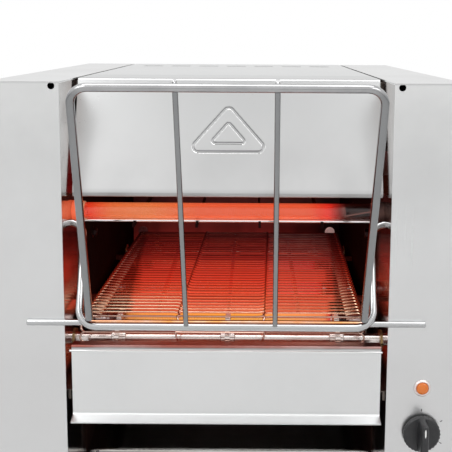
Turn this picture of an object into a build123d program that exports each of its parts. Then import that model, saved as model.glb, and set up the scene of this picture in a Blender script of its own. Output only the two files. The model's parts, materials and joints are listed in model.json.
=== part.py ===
from build123d import *
import math
import os

# Conveyor toaster. X runs across the front, Y runs back from the front faces, Z is up.
# Everything is modelled with y = 0 on the front faces and z = 0 on the table. On export the
# whole toaster moves along Y so that its overall box is centred on the origin.
# All sizes are in millimetres.

# ---- driving dimensions: body ----
WIDTH = 368.0             # over the side covers, without their louvres
DEPTH = 390.0             # front faces to the back of the rear cover
HEIGHT = 387.0            # table to top
FOOT_HEIGHT = 28.0
SIDE_WIDTH = 56.5         # housing at each side of the opening
SHEET = 1.2               # outer covers
LINER = 1.0               # sheet inside the chamber
BEND = 2.0                # inside bend radius of the outer covers
GAP = 0.3                 # clearance between pieces that lie beside each other
FIT = 0.06                # radial clearance of shafts and pins in their bores
WELD = 0.05               # gap left between wires that are welded to each other

# ---- hood ----
HOOD_LOW_Y = 26.0         # depth of the hood's lower edge
HOOD_LOW_Z = 296.5
HOOD_TOP_Y = 57.0         # depth where it bends over to the top
HOOD_SLOT = 2.5           # slot at each side of the hood
HOOD_TOP_RUN = 55.0       # how far the hood's top flange runs back
HOOD_LIP = 3.5            # height of the return fold at the lower edge
HOOD_LIP_SET = 1.5        # how far the return fold leans back
HOOD_LEDGE = 26.0         # ledge that runs back from the return fold
HOOD_BENDS = [1.2, 1.2, 3.0]

# ---- sheets inside the hood and at the back of the chamber ----
REFLECTOR_START = 10.0    # behind the hood's lower edge
REFLECTOR_STEP = 8.0
REFLECTOR_RISE = 9.0
REFLECTOR_TAIL = 14.0
REFLECTOR_CLEAR = 5.0     # from the belt's turn to the reflector's back edge
DEFLECTOR_SET = 2.5       # behind the reflector
DEFLECTOR_TOP = 14.0      # its top and its bend, below the hood's lower edge
DEFLECTOR_DROP = 52.0
DEFLECTOR_SPACE = 4.0     # behind the slide
DEFLECTOR_OVERLAP = 12.0  # below the top of the slide
DEFLECTOR_BEND = 25.0
SHIELD_RISE = 38.0        # above the hood's lower edge
SHIELD_EDGE = 8.0
SHIELD_FRONT = 6.0        # behind the hood's top bend
SHIELD_BACK = 4.0

# ---- belt ----
BELT_SIDE = 17.5          # edges of the belt from the chamber walls
BELT_WIRE = 2.0
BELT_SPACES = 3
SHAFT_Y = 36.0            # front shaft
SHAFT_Z = 171.0
REAR_SPACE = 84.0         # rear shaft to the back of the rear cover
LOOP_RADIUS = 22.0        # of the wire's middle round the sprockets
STRAND_PITCH = 10.6       # the belt takes the whole number of strands that comes nearest
SHAFT_RADIUS = 5.0
TOOTH_DEPTH = 4.2
SPROCKET_WIDTH = 4.0
SPROCKET_CLEAR = 0.45     # between the tooth tips and the wires of the belt
TOOTH_TIP = 0.32          # width of a tooth's tip, as a share of the tooth pitch
SPROCKET_PLACE = 0.41     # outer sprockets, as a share of the belt's width from the middle
SHAFT_OVER = 2.0          # shaft ends past their bushes or the drive gear
RAIL_WIDTH = 3.0
RAIL_DEPTH = 6.5
RAIL_INSET = 50.0         # outer rails from the edges of the belt
RAIL_CLEAR = 4.0          # from the belt's turns to the ends of the rails
CROSS_BAR_WIDTH = 5.0
CROSS_BAR_DEPTH = 4.0
CROSS_BAR_INSET = 25.0    # from the outermost lower tubes

# ---- heaters ----
TUBE_RADIUS = 6.5
TUBE_WALL = 1.2
COIL_RADIUS = 3.0
UPPER_TUBE_Z = 279.0
UPPER_TUBE_FRONT = 4.0    # first upper tube behind the front shaft
UPPER_TUBE_REAR = 46.0    # last upper tube in front of the rear shaft
LOWER_TUBE_Z = SHAFT_Z
LOWER_TUBE_INSET = 44.0   # first and last lower tube from the shafts
CERAMIC_WIDTH = 16.6      # across the flats
CERAMIC_LENGTH = 10.0
CAP_LENGTH = 13.0
CAP_OVER = 1.5            # cap's radius over the tube's
BRACKET_STAND = 9.0       # lower heater bracket, from the chamber wall
BRACKET_DROP = 0.7        # its top below the cross bars
BRACKET_LIFT = 2.5        # its foot above the edges of the lower reflector
BRACKET_OVER = 19.0       # its ends past the outermost tubes
GUARD_ROD_RADIUS = 1.5
GUARD_CLEAR = 1.0         # from the tubes down to the rods
GUARD_ROD_FRONT = 4.0     # rods behind the first and the last tube
GUARD_ROD_REAR = 14.0
STRIP_X = [-78.0, -26.0, 26.0, 78.0]
STRIP_THICK = 2.0
STRIP_DEPTH = 3.0
STRIP_OVER = 7.0          # strips past the rods
LOWER_REFLECTOR_RISE = 4.0    # above the belt's lower run
LOWER_REFLECTOR_CLEAR = 6.0   # from the belt's turns
LOWER_REFLECTOR_EDGE = (3.0, 5.0)

# ---- rack ----
FRAME_WIRE = 6.0
INNER_WIRE = 4.0
STOP_WIRE = 5.0
STOP_OVER = 28.5          # stop rod past the opening at each side
HANGER_SIDE = 13.0        # middle of the hanger's legs from the chamber walls
FRAME_SIDE = 8.5          # middle of the frame's legs inside the hanger's
FRAME_BEND = 12.0
HANGER_BEND = 14.0
HANGER_LEAN = 28.3        # degrees, the hanger's legs from upright
HOOK_BEND = 6.0
INNER_X = 35.3
STOP_Z = 198.7
HANGER_Z = 198.0
PIVOT_Z = 271.0
FRAME_FOOT_RISE = 6.2     # foot of the frame's legs above the hanger's lower bar
INNER_SET = 1.0           # foot of the inner wires in front of the lower bar's middle
INNER_OVER = 3.5          # their free ends past the top bar's middle
HOOK_OVER = 3.0           # hooks past the chamber walls
RACK_TOP_Y = -80.0
RACK_OVER = 1.0           # middle of the top bar above the top cover

# ---- trays and slide ----
PANEL_SIDE = 5.0          # front of the crumb tray from the chamber walls
PANEL_LOW_Z = 122.0
PANEL_TOP_Z = 179.0
PANEL_FOLD = 9.0          # folds at the panel's top and at its finger lip
PANEL_FOLD_DROP = 3.0
PANEL_BEND = 1.5
CRUMB_FLOOR_Z = 137.0
CRUMB_SHORT = 6.0         # back of the tray in front of the rear shaft
CRUMB_SIDE = 9.5
CRUMB_LIP = 6.0
CRUMB_RAIL_LAP = 4.0
CRUMB_RAIL_FRONT = 12.0
CRUMB_RAIL_LEG = 8.0
TOAST_TRAY_SPACE = 7.5    # from the chamber walls
TOAST_TRAY_FRONT = -45.0
TOAST_TRAY_BACK = 75.0
TOAST_TRAY_SIDE = 20.0
SLIDE_FRONT_Y = 79.0
SLIDE_FRONT_Z = 48.0
SLIDE_ANGLE = 12.5        # degrees
SLIDE_BACK = 33.0         # in front of the back of the rear cover
SLIDE_BACK_Z = 168.0
SLIDE_BENDS = [3.0, 40.0]

# ---- drive ----
GEAR_MODULE = 2.0
GEAR_TEETH = 21
PINION_TEETH = 12
GEAR_FACE = 7.0
GEAR_SPACE = 11.5         # gears from the right chamber wall
BACKLASH = 0.35
PINION_ANGLE = 225.0      # degrees, from the drive shaft towards the pinion
ADDENDUM = 0.9            # tooth above and below the pitch circle, in modules
DEDENDUM = 1.2
ROOT_SPREAD = 1.45        # tooth thickness at the root and at the tip, over the pitch circle's
TIP_SPREAD = 0.36
MOTOR_SHAFT_RADIUS = 3.0
MOTOR_SPACE = 3.0         # between the gears and the gearbox
GEARBOX_DEPTH = 14.0
GEARBOX_Y = (-38.0, 22.0) # extent about the pinion
GEARBOX_Z = (-26.0, 30.0)
MOTOR_RADIUS = 24.0
MOTOR_DEPTH = 16.0
MOTOR_Y = -10.0           # centre of the motor can from the pinion
MOTOR_Z = 2.0
POST_INSET = 5.0          # posts, from the gearbox's corners
POST_HALF = 3.0
BUSH_RADIUS = 8.0
BUSH_LENGTH = 5.0

# ---- controls ----
CONTROL_INSET = 28.0      # middle of the controls from the side
MODE_Z = 108.0
SPEED_Z = 62.0
LAMP_Z = 145.0
KNOB_RADIUS = 15.0
KNOB_LENGTH = 17.0
KNOB_SKIRT = 4.0
KNOB_SPACE = 1.0          # between the knob and the panel
KNOB_SIDES = 24
GRIP_HALF = 3.5
GRIP_EDGE = 1.5
SPINDLE_RADIUS = 3.0
LAMP_RADIUS = 5.0
LAMP_OUT = 3.0
LAMP_BODY = 16.0
SWITCH_SIZE = 30.0
SWITCH_DEPTH = 26.0
SPEED_SIZE = 24.0
SPEED_DEPTH = 16.0
BOARD_THICK = 1.6
BOARD_SPACE = 6.0
BOARD_Y = (60.0, 150.0)
BOARD_Z = (60.0, 130.0)
RELAY = (16.0, 25.0, 25.0)        # out of the board, along Y, along Z
TRANSFORMER = (10.0, 20.0, 30.0)
BOARD_POST_HALF = 2.5
BOARD_POST_INSET = 6.0
TERMINAL_SIZE = (36.0, 16.0, 12.0)
TERMINAL_BACK = 60.0
TERMINAL_WALLS = 4
TERMINAL_WALL = (1.8, 5.0)        # thickness and height

# ---- covers, feet and vents ----
PAN_EDGE = 14.0
COVER_SCREW_FLATS = 6.0
COVER_SCREW_HEIGHT = 2.2
COVER_SCREW_Z = [45.0, 150.0, 260.0]
COVER_SCREW_INSET = (17.0, 40.0)  # from the top, and from the front and the back
COVER_SCREW_RISE = 8.0            # of the lower side screws above the cover's edge
WALL_SCREW_FLATS = 8.0
WALL_SCREW_HEIGHT = 4.0
WALL_SCREW_Y = [115.0, 230.0]
WALL_SCREW_Z = 242.0
DEFLECTOR_SCREW_FLATS = 9.0
DEFLECTOR_SCREW_HEIGHT = 3.0
DEFLECTOR_SCREW_INSET = 12.0
DEFLECTOR_SCREW_RISE = 14.0       # above the slide's back edge
FOOT_RADIUS = 15.0
FOOT_TAPER = 3.0
FOOT_INSET = 32.0
REAR_RETURN = 20.0
RELIEF_RADIUS = 2.7
RELIEF_EDGE = 3.0                 # from the opening's edge
RELIEF_DROP = 2.0
LOUVRES = 5
LOUVRE_Y = 215.0
LOUVRE_LENGTH = 90.0
LOUVRE_HEIGHT = 9.0
LOUVRE_OUT = 3.5
LOUVRE_PITCH = 16.0
LOUVRE_Z = 80.0
TOP_OVERLAP = 14.0
VENT_MARGIN = 18.0
VENT_PITCH = 32.0
VENT_WIDTH = 22.0
VENT_LENGTH = 5.0
VENT_BACK = 60.0
VENT_ROW_PITCH = 14.0
ROOF_RAIL = 12.0
ROOF_RAIL_SET = 4.0               # behind the hood's top bend
REAR_VENT_ROWS = 5
REAR_VENT_Z = 270.0
REAR_VENT_PITCH = 14.0
REAR_VENT_X = 60.0
REAR_VENT_LENGTH = 90.0
SLOT = 4.0
FAN_INSET = 29.0
FAN_Z = 85.0
FAN_SIZE = 50.0
FAN_DEPTH = 15.0
FAN_WALL = 1.0
FAN_HUB = 8.0
FAN_BOSS_DEPTH = 5.0
FAN_STRUT = (4.0, 2.0)            # height and depth
FAN_BLADES = 5
BLADE = (14.0, 8.0, 1.2)
BLADE_TWIST = 38.0
BLADE_REACH = 14.0                # middle of a blade from the hub's axis
HUB_DEPTH = 7.0
HUB_SPACE = 2.0                   # from the rear cover
FAN_SLOT_LENGTH = 36.0
FAN_SLOT_PITCH = 12.0
GLAND_INSET = 34.0
GLAND_Z = 52.0
GLAND_BORE = 4.0
GLAND_NECK = 8.0
GLAND_NECK_LENGTH = 4.0
GLAND_COLLAR = 11.0
GLAND_COLLAR_LENGTH = 6.0
GLAND_NUT = 9.0
GLAND_LENGTH = 20.0

# ---- number of flat sides drawn for small round pieces ----
WIRE_SIDES = 10
ROUND_SIDES = 12



def spread_of_three(first, last):
    """Three evenly spaced places."""
    return [first, (first + last) / 2, last]


# ---- sizes worked out from the driving dimensions ----
HALF_W = WIDTH / 2
CHAMBER_WIDTH = WIDTH - 2 * SIDE_WIDTH   # clear width of the opening, between the chamber walls
WALL_X = CHAMBER_WIDTH / 2               # inner face of a chamber wall
WALL_OUT = WALL_X + LINER
FLOOR_Z = FOOT_HEIGHT + SHEET            # top of the base pan's floor
ROOF_Z = HEIGHT - SHEET                  # underside of the top sheets
REAR_SHAFT_Y = DEPTH - REAR_SPACE
SHAFT_SPAN = REAR_SHAFT_Y - SHAFT_Y
LOOP_LENGTH = 2 * SHAFT_SPAN + 2 * math.pi * LOOP_RADIUS
STRANDS = round(LOOP_LENGTH / STRAND_PITCH)
PITCH = LOOP_LENGTH / STRANDS
TOOTH_COUNT = round(2 * math.pi * LOOP_RADIUS / PITCH)
BELT_WIDTH = CHAMBER_WIDTH - 2 * BELT_SIDE
RAIL_X = [RAIL_INSET - BELT_WIDTH / 2, 0.0, BELT_WIDTH / 2 - RAIL_INSET]
TUBE_END = WALL_X - CERAMIC_LENGTH
GEAR_X = WALL_OUT + GEAR_SPACE           # inner face of both gears
MOTOR_X = GEAR_X + GEAR_FACE + MOTOR_SPACE
CONTROL_X = HALF_W - CONTROL_INSET
FAN_X = HALF_W - FAN_INSET
GLAND_X = HALF_W - GLAND_INSET
TERMINAL_Y = DEPTH - TERMINAL_BACK
SLIDE_BACK_Y = DEPTH - SLIDE_BACK
CRUMB_LENGTH = REAR_SHAFT_Y - CRUMB_SHORT
REFLECTOR_BACK = REAR_SHAFT_Y + LOOP_RADIUS + REFLECTOR_CLEAR
BRACKET_X = WALL_X - BRACKET_STAND
LOWER_TUBE_END = BRACKET_X - CAP_LENGTH
DEFLECTOR_Y = SLIDE_BACK_Y + DEFLECTOR_SPACE
BOARD_X = HALF_W - 2 * SHEET - BOARD_SPACE
STRAND_TURN = PITCH / LOOP_RADIUS        # turn from one strand to the next round a shaft
TURNED_HALF = BELT_WIRE / 2 * (math.cos(STRAND_TURN) + math.sin(STRAND_TURN))
Z_STEP = PITCH - (BELT_WIRE / 2 + TURNED_HALF) / math.cos(STRAND_TURN / 2) - GAP
INNER_BACK = DEPTH - 3 * SHEET - 3 * GAP # where pieces inside the covers end at the back
UPPER_TUBE_Y = spread_of_three(SHAFT_Y + UPPER_TUBE_FRONT, REAR_SHAFT_Y - UPPER_TUBE_REAR)
LOWER_TUBE_Y = spread_of_three(SHAFT_Y + LOWER_TUBE_INSET, REAR_SHAFT_Y - LOWER_TUBE_INSET)
GUARD_Z = UPPER_TUBE_Z - TUBE_RADIUS - GUARD_ROD_RADIUS - GUARD_CLEAR
GUARD_Y = [UPPER_TUBE_Y[0] + GUARD_ROD_FRONT, UPPER_TUBE_Y[-1] + GUARD_ROD_REAR]
RAIL_TOP_Z = SHAFT_Z + LOOP_RADIUS - BELT_WIRE / 2 - GAP
CROSS_BAR_Z = RAIL_TOP_Z - RAIL_DEPTH - CROSS_BAR_DEPTH
LOWER_REFLECTOR_Z = SHAFT_Z - LOOP_RADIUS + BELT_WIRE / 2 + LOWER_REFLECTOR_RISE

# rack: the stop rod lies on the front faces, the hanger's legs lie on the rod
STOP_LENGTH = CHAMBER_WIDTH + 2 * STOP_OVER
HANGER_WIDTH = CHAMBER_WIDTH - 2 * HANGER_SIDE
FRAME_WIDTH = HANGER_WIDTH - 2 * FRAME_SIDE
RACK_TOP_Z = HEIGHT + RACK_OVER
STOP_Y = -STOP_WIRE / 2 - GAP
LEAN_SIN = math.sin(math.radians(HANGER_LEAN))
LEAN_COS = math.cos(math.radians(HANGER_LEAN))
LEG_OFFSET = (STOP_WIRE + FRAME_WIRE) / 2 + WELD + (STOP_Z - HANGER_Z) * LEAN_SIN
HANGER_Y = STOP_Y - LEG_OFFSET / LEAN_COS
PIVOT_Y = HANGER_Y + (PIVOT_Z - HANGER_Z) * LEAN_SIN / LEAN_COS
HANGER_LENGTH = (PIVOT_Z - HANGER_Z) / LEAN_COS
FRAME_FOOT = (HANGER_Y, HANGER_Z + FRAME_FOOT_RISE)
FRAME_LENGTH = math.hypot(RACK_TOP_Y - FRAME_FOOT[0], RACK_TOP_Z - FRAME_FOOT[1])

# overall box along Y, used to centre the toaster
FRONT_MOST = RACK_TOP_Y - FRAME_WIRE / 2
REAR_MOST = DEPTH + GLAND_LENGTH
MIDDLE_Y = (FRONT_MOST + REAR_MOST) / 2


# ---- helpers ----
def block(x0, x1, y0, y1, z0, z1):
    """A block between two corners."""
    middle = Pos((x0 + x1) / 2, (y0 + y1) / 2, (z0 + z1) / 2)
    return middle * Box(x1 - x0, y1 - y0, z1 - z0)


def rod_x(x0, x1, y, z, radius):
    """A round rod along X."""
    return Pos((x0 + x1) / 2, y, z) * Rot(0, 90, 0) * Cylinder(radius, x1 - x0)


def rod_y(x, y0, y1, z, radius):
    """A round rod along Y."""
    return Pos(x, (y0 + y1) / 2, z) * Rot(90, 0, 0) * Cylinder(radius, y1 - y0)


def prism_x(x0, x1, y, z, radius, sides):
    """A many-sided rod along X that fits inside the radius."""
    place = Plane(origin=(x0, y, z), z_dir=(1, 0, 0))
    return extrude(place * RegularPolygon(radius, sides), x1 - x0)


def socket_x(x0, x1, y, z, radius, sides):
    """A many-sided hole along X that a round rod of the radius fits inside."""
    place = Plane(origin=(x0, y, z), z_dir=(1, 0, 0))
    return extrude(place * RegularPolygon(radius, sides, major_radius=False), x1 - x0)


def prism_y(x, y0, y1, z, radius, sides):
    """A many-sided rod along Y that fits inside the radius."""
    place = Plane(origin=(x, y0, z), x_dir=(1, 0, 0), z_dir=(0, 1, 0))
    return extrude(place * RegularPolygon(radius, sides), y1 - y0)


def across(face, x0, x1):
    """A face drawn in (Y, Z), extruded along X from x0 to x1."""
    return Pos(x0, 0, 0) * extrude(Plane.YZ * face, x1 - x0)


def polygon(points):
    """A closed face through the points."""
    return make_face(Polyline(*points, close=True))


def bent_sheet(points, thickness, bend, x0, x1):
    """A folded sheet: its outline in (Y, Z) is one face of the sheet, to the left is the other."""
    line = Wire(FilletPolyline(*points, radius=bend).edges())
    outline = line.offset_2d(thickness, kind=Kind.INTERSECTION, side=Side.LEFT, closed=True)
    return across(make_face(outline.edges()), x0, x1)


def hex_screw(x, y, z, axis, across_flats, height):
    """A hexagon screw head that stands on a surface and points along axis."""
    place = Plane(origin=(x, y, z), z_dir=axis)
    return extrude(place * RegularPolygon(across_flats / 2, 6, major_radius=False), height)


def both_sides(solid):
    """The solid and its mirror image across the middle."""
    return [solid, mirror(solid, Plane.YZ)]


# ---- body ----
def base_pan():
    """Floor pan with upturned edges at the left, right and back."""
    edge = HALF_W - SHEET - GAP
    back = DEPTH - 2 * SHEET - 2 * GAP
    pan = block(-edge, edge, SHEET + GAP, back, FOOT_HEIGHT, FOOT_HEIGHT + PAN_EDGE)
    inside = block(-edge + SHEET, edge - SHEET, 0, back - SHEET, FLOOR_Z, HEIGHT)
    return pan - inside


def feet():
    """Four tapered rubber feet under the corners of the pan."""
    low = RegularPolygon(FOOT_RADIUS - FOOT_TAPER, ROUND_SIDES)
    high = Pos(0, 0, FOOT_HEIGHT) * RegularPolygon(FOOT_RADIUS, ROUND_SIDES)
    foot = loft([low, high])
    x = HALF_W - FOOT_INSET
    return [Pos(sx * x, y, 0) * foot for sx in (-1, 1) for y in (FOOT_INSET, DEPTH - FOOT_INSET)]


def louvre(z):
    """One louvre on the right cover: a raised hood, open at its lower side."""
    outer = polygon([(HALF_W - SHEET, z), (HALF_W + LOUVRE_OUT, z), (HALF_W - SHEET, z + LOUVRE_HEIGHT)])
    inner = polygon([
        (HALF_W - SHEET, z), (HALF_W + LOUVRE_OUT - SHEET, z),
        (HALF_W - SHEET, z + LOUVRE_HEIGHT - 2 * SHEET),
    ])
    hood = Pos(0, LOUVRE_Y + LOUVRE_LENGTH, 0) * extrude(Plane.XZ * outer, LOUVRE_LENGTH)
    hollow = Pos(0, LOUVRE_Y + LOUVRE_LENGTH - SHEET, 0) * extrude(
        Plane.XZ * inner, LOUVRE_LENGTH - 2 * SHEET)
    return hood, hollow


def side_cover(with_controls):
    """Front face, outer side and top wing of the right cover, from one sheet, with a rear return."""
    plan = Wire(FilletPolyline(
        (WALL_X, 0), (HALF_W, 0), (HALF_W, DEPTH), (HALF_W - REAR_RETURN, DEPTH), radius=BEND).edges())
    outline = plan.offset_2d(SHEET, kind=Kind.INTERSECTION, side=Side.LEFT, closed=True)
    cover = Pos(0, 0, FOOT_HEIGHT) * extrude(make_face(outline.edges()), HEIGHT - FOOT_HEIGHT)
    cover += block(WALL_X, HALF_W - SHEET, SHEET, DEPTH - SHEET, ROOF_Z, HEIGHT)
    for row in range(LOUVRES):
        hood, hollow = louvre(LOUVRE_Z + row * LOUVRE_PITCH)
        cover = cover + hood - hollow
    # corner relief where the three folds meet
    relief_x = WALL_X + RELIEF_RADIUS + RELIEF_EDGE
    cover -= rod_y(relief_x, -SHEET, 2 * SHEET, ROOF_Z - RELIEF_DROP, RELIEF_RADIUS)
    if with_controls:
        for z in (MODE_Z, SPEED_Z):
            cover -= prism_y(CONTROL_X, -SHEET, 2 * SHEET, z, SPINDLE_RADIUS + 1, 8)
        cover -= prism_y(CONTROL_X, -SHEET, 2 * SHEET, LAMP_Z, LAMP_RADIUS + FIT, ROUND_SIDES)
    return cover


def hood_panel():
    """Leaning hood: lower ledge, return fold, leaning face and a flange over the top."""
    points = [
        (HOOD_LOW_Y + HOOD_LIP_SET + HOOD_LEDGE, HOOD_LOW_Z - HOOD_LIP),
        (HOOD_LOW_Y + HOOD_LIP_SET, HOOD_LOW_Z - HOOD_LIP),
        (HOOD_LOW_Y, HOOD_LOW_Z),
        (HOOD_TOP_Y, HEIGHT),
        (HOOD_TOP_Y + HOOD_TOP_RUN, HEIGHT),
    ]
    x = WALL_X - HOOD_SLOT
    line = Wire(FilletPolyline(*points, radius=HOOD_BENDS).edges())
    outline = line.offset_2d(SHEET, kind=Kind.INTERSECTION, side=Side.RIGHT, closed=True)
    return across(make_face(outline.edges()), -x, x)


def top_cover():
    """Top sheet behind the hood, with two rows of vent slots and a step under the hood's flange."""
    x = WALL_X - HOOD_SLOT
    y0 = HOOD_TOP_Y + HOOD_TOP_RUN + GAP
    cover = block(-x, x, y0, DEPTH - SHEET - GAP, ROOF_Z, HEIGHT)
    joggle = block(-x, x, y0 - TOP_OVERLAP, y0 + SHEET, ROOF_Z - SHEET, ROOF_Z)
    cover += joggle
    space = VENT_PITCH - VENT_WIDTH
    columns = int((2 * (x - VENT_MARGIN) + space) // VENT_PITCH)
    for row in range(2):
        for column in range(columns):
            left = column * VENT_PITCH - (columns * VENT_PITCH - space) / 2
            y = DEPTH - VENT_BACK - row * VENT_ROW_PITCH
            cover -= block(left, left + VENT_WIDTH, y, y + VENT_LENGTH, ROOF_Z - 1, HEIGHT + 1)
    return cover


def roof_rail():
    """Angle along the top of each chamber wall that carries the top sheets."""
    y0 = HOOD_TOP_Y + ROOF_RAIL_SET
    y1 = INNER_BACK
    flat = block(WALL_X - ROOF_RAIL, WALL_X, y0, y1, ROOF_Z - SHEET - LINER - GAP, ROOF_Z - SHEET - GAP)
    leg = block(WALL_X - LINER, WALL_X, y0, y1, ROOF_Z - ROOF_RAIL, ROOF_Z - SHEET - GAP)
    return both_sides(flat + leg)


def rear_cover():
    """Flat rear sheet between the side covers, with fan slots, vents and the gland hole."""
    x = HALF_W - BEND - GAP
    y1 = DEPTH - SHEET
    cover = block(-x, x, y1 - SHEET, y1, FLOOR_Z + GAP, ROOF_Z - GAP)
    for row in range(REAR_VENT_ROWS):
        z = REAR_VENT_Z + row * REAR_VENT_PITCH
        for side in (-1, 1):
            x0 = side * REAR_VENT_X - REAR_VENT_LENGTH / 2
            cover -= block(x0, x0 + REAR_VENT_LENGTH, y1 - SHEET - 1, y1 + 1, z, z + SLOT)
    for row in (-1, 0, 1):
        z = FAN_Z - SLOT / 2 + row * FAN_SLOT_PITCH
        x0 = -FAN_X - FAN_SLOT_LENGTH / 2
        cover -= block(x0, x0 + FAN_SLOT_LENGTH, y1 - SHEET - 1, y1 + 1, z, z + SLOT)
    cover -= prism_y(GLAND_X, y1 - SHEET - 1, y1 + 1, GLAND_Z, GLAND_NECK + FIT, ROUND_SIDES)
    return cover


def chamber_wall(side):
    """Side wall of the chamber. It carries shafts, tubes and the rack."""
    wall = block(WALL_X, WALL_OUT, SHEET + GAP, INNER_BACK, FLOOR_Z, ROOF_Z)
    for y in (SHAFT_Y, REAR_SHAFT_Y):
        wall -= socket_x(WALL_X - 1, WALL_OUT + 1, y, SHAFT_Z, BUSH_RADIUS + FIT, 8)
    wall -= rod_x(WALL_X - 1, WALL_OUT + 1, PIVOT_Y, PIVOT_Z, FRAME_WIRE / 2 + FIT)
    return wall if side > 0 else mirror(wall, Plane.YZ)


def wall_screws():
    """Hexagon screws on the inner faces of the chamber walls."""
    screws = []
    for y in WALL_SCREW_Y:
        screw = hex_screw(WALL_X, y, WALL_SCREW_Z, (-1, 0, 0), WALL_SCREW_FLATS, WALL_SCREW_HEIGHT)
        screws += both_sides(screw)
    return screws


def upper_reflector():
    """Folded reflector over the upper tubes, from the hood's ledge to the rear deflector."""
    x = WALL_X - GAP
    low = HOOD_LOW_Z - HOOD_LIP + SHEET
    ledge = HOOD_LOW_Y + REFLECTOR_START + HOOD_LEDGE
    points = [
        (HOOD_LOW_Y + REFLECTOR_START, low),
        (ledge, low),
        (ledge + REFLECTOR_STEP, low + REFLECTOR_RISE),
        (REFLECTOR_BACK - REFLECTOR_TAIL, low + REFLECTOR_RISE),
        (REFLECTOR_BACK, low - REFLECTOR_TAIL),
    ]
    return bent_sheet(points, LINER, 2.0, -x, x)


def rear_deflector():
    """Curved baffle at the back of the chamber that turns the toast down onto the slide."""
    x = WALL_X - GAP
    points = [
        (REFLECTOR_BACK + DEFLECTOR_SET, HOOD_LOW_Z - DEFLECTOR_TOP),
        (DEFLECTOR_Y, HOOD_LOW_Z - DEFLECTOR_DROP),
        (DEFLECTOR_Y, SLIDE_BACK_Z - DEFLECTOR_OVERLAP),
    ]
    return bent_sheet(points, LINER, DEFLECTOR_BEND, -x, x)


def deflector_screws():
    """Two screws through the rear deflector."""
    x = WALL_X - DEFLECTOR_SCREW_INSET
    z = SLIDE_BACK_Z + DEFLECTOR_SCREW_RISE
    size = (DEFLECTOR_SCREW_FLATS, DEFLECTOR_SCREW_HEIGHT)
    return both_sides(hex_screw(x, DEFLECTOR_Y, z, (0, -1, 0), *size))


def heat_shield():
    """Flat shield between the reflector and the top sheets."""
    x = WALL_X - GAP
    z = HOOD_LOW_Z + SHIELD_RISE
    y0 = HOOD_TOP_Y + SHIELD_FRONT
    y1 = INNER_BACK - SHIELD_BACK
    points = [(y0, z - SHIELD_EDGE), (y0, z), (y1, z), (y1, z - SHIELD_EDGE)]
    return bent_sheet(points, LINER, 2.0, -x, x)


# ---- heaters ----
def tubes(ys, z, half_length):
    """Open quartz tubes."""
    made = []
    for y in ys:
        tube = prism_x(-half_length, half_length, y, z, TUBE_RADIUS, ROUND_SIDES)
        bore = prism_x(-half_length - 1, half_length + 1, y, z, TUBE_RADIUS - TUBE_WALL, ROUND_SIDES)
        made.append(tube - bore)
    return made


def coils(ys, z, half_length):
    """Heating coils, each as the rod that the coil fills."""
    return [prism_x(-half_length, half_length, y, z, COIL_RADIUS, 6) for y in ys]


def ceramic_ends(ys, z):
    """Octagonal ceramic blocks on the chamber walls that hold the upper tubes."""
    return [end for y in ys for end in both_sides(socket_x(TUBE_END, WALL_X, y, z, CERAMIC_WIDTH / 2, 8))]


def lower_caps(ys, z):
    """Metal end caps of the lower tubes."""
    cap = prism_x(LOWER_TUBE_END, BRACKET_X, 0, z, TUBE_RADIUS + CAP_OVER, ROUND_SIDES)
    return [end for y in ys for end in both_sides(Pos(0, y, 0) * cap)]


def lower_brackets():
    """Angles along the chamber walls that carry the lower tubes' caps."""
    y0 = LOWER_TUBE_Y[0] - BRACKET_OVER
    y1 = LOWER_TUBE_Y[-1] + BRACKET_OVER
    low = LOWER_REFLECTOR_Z + LOWER_REFLECTOR_EDGE[1] + BRACKET_LIFT
    plate = block(BRACKET_X, BRACKET_X + LINER, y0, y1, low, CROSS_BAR_Z - BRACKET_DROP)
    foot = block(BRACKET_X, WALL_X, y0, y1, low - LINER, low)
    return both_sides(plate + foot)


def guard_rods():
    """Cross rods under the first and the last upper tube."""
    return [prism_x(-WALL_X, WALL_X, y, GUARD_Z, GUARD_ROD_RADIUS, WIRE_SIDES) for y in GUARD_Y]


def guard_strips():
    """Strips along the belt's run, under the cross rods, that keep bread off the tubes."""
    z = GUARD_Z - GUARD_ROD_RADIUS
    y0 = GUARD_Y[0] - STRIP_OVER
    y1 = GUARD_Y[-1] + STRIP_OVER
    half = STRIP_THICK / 2
    return [block(x - half, x + half, y0, y1, z - STRIP_DEPTH, z) for x in STRIP_X]


def lower_reflector():
    """Shallow tray between the two runs of the belt, under the lower tubes."""
    x = WALL_X - GAP
    z = LOWER_REFLECTOR_Z
    y0 = SHAFT_Y + LOOP_RADIUS + LOWER_REFLECTOR_CLEAR
    y1 = REAR_SHAFT_Y - LOOP_RADIUS - LOWER_REFLECTOR_CLEAR
    run, rise = LOWER_REFLECTOR_EDGE
    points = [(y0, z + rise), (y0 + run, z), (y1 - run, z), (y1, z + rise)]
    return bent_sheet(points, LINER, 1.5 * LINER, -x, x)


# ---- belt and shafts ----
def loop_point(s):
    """Point (y, z) on the middle of the belt's wire, s along the loop from above the front shaft."""
    s = s % LOOP_LENGTH
    half_turn = math.pi * LOOP_RADIUS
    if s < SHAFT_SPAN:
        return SHAFT_Y + s, SHAFT_Z + LOOP_RADIUS
    s -= SHAFT_SPAN
    if s < half_turn:
        turn = s / LOOP_RADIUS
        return REAR_SHAFT_Y + LOOP_RADIUS * math.sin(turn), SHAFT_Z + LOOP_RADIUS * math.cos(turn)
    s -= half_turn
    if s < SHAFT_SPAN:
        return REAR_SHAFT_Y - s, SHAFT_Z - LOOP_RADIUS
    turn = (s - SHAFT_SPAN) / LOOP_RADIUS
    return SHAFT_Y - LOOP_RADIUS * math.sin(turn), SHAFT_Z - LOOP_RADIUS * math.cos(turn)


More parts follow.
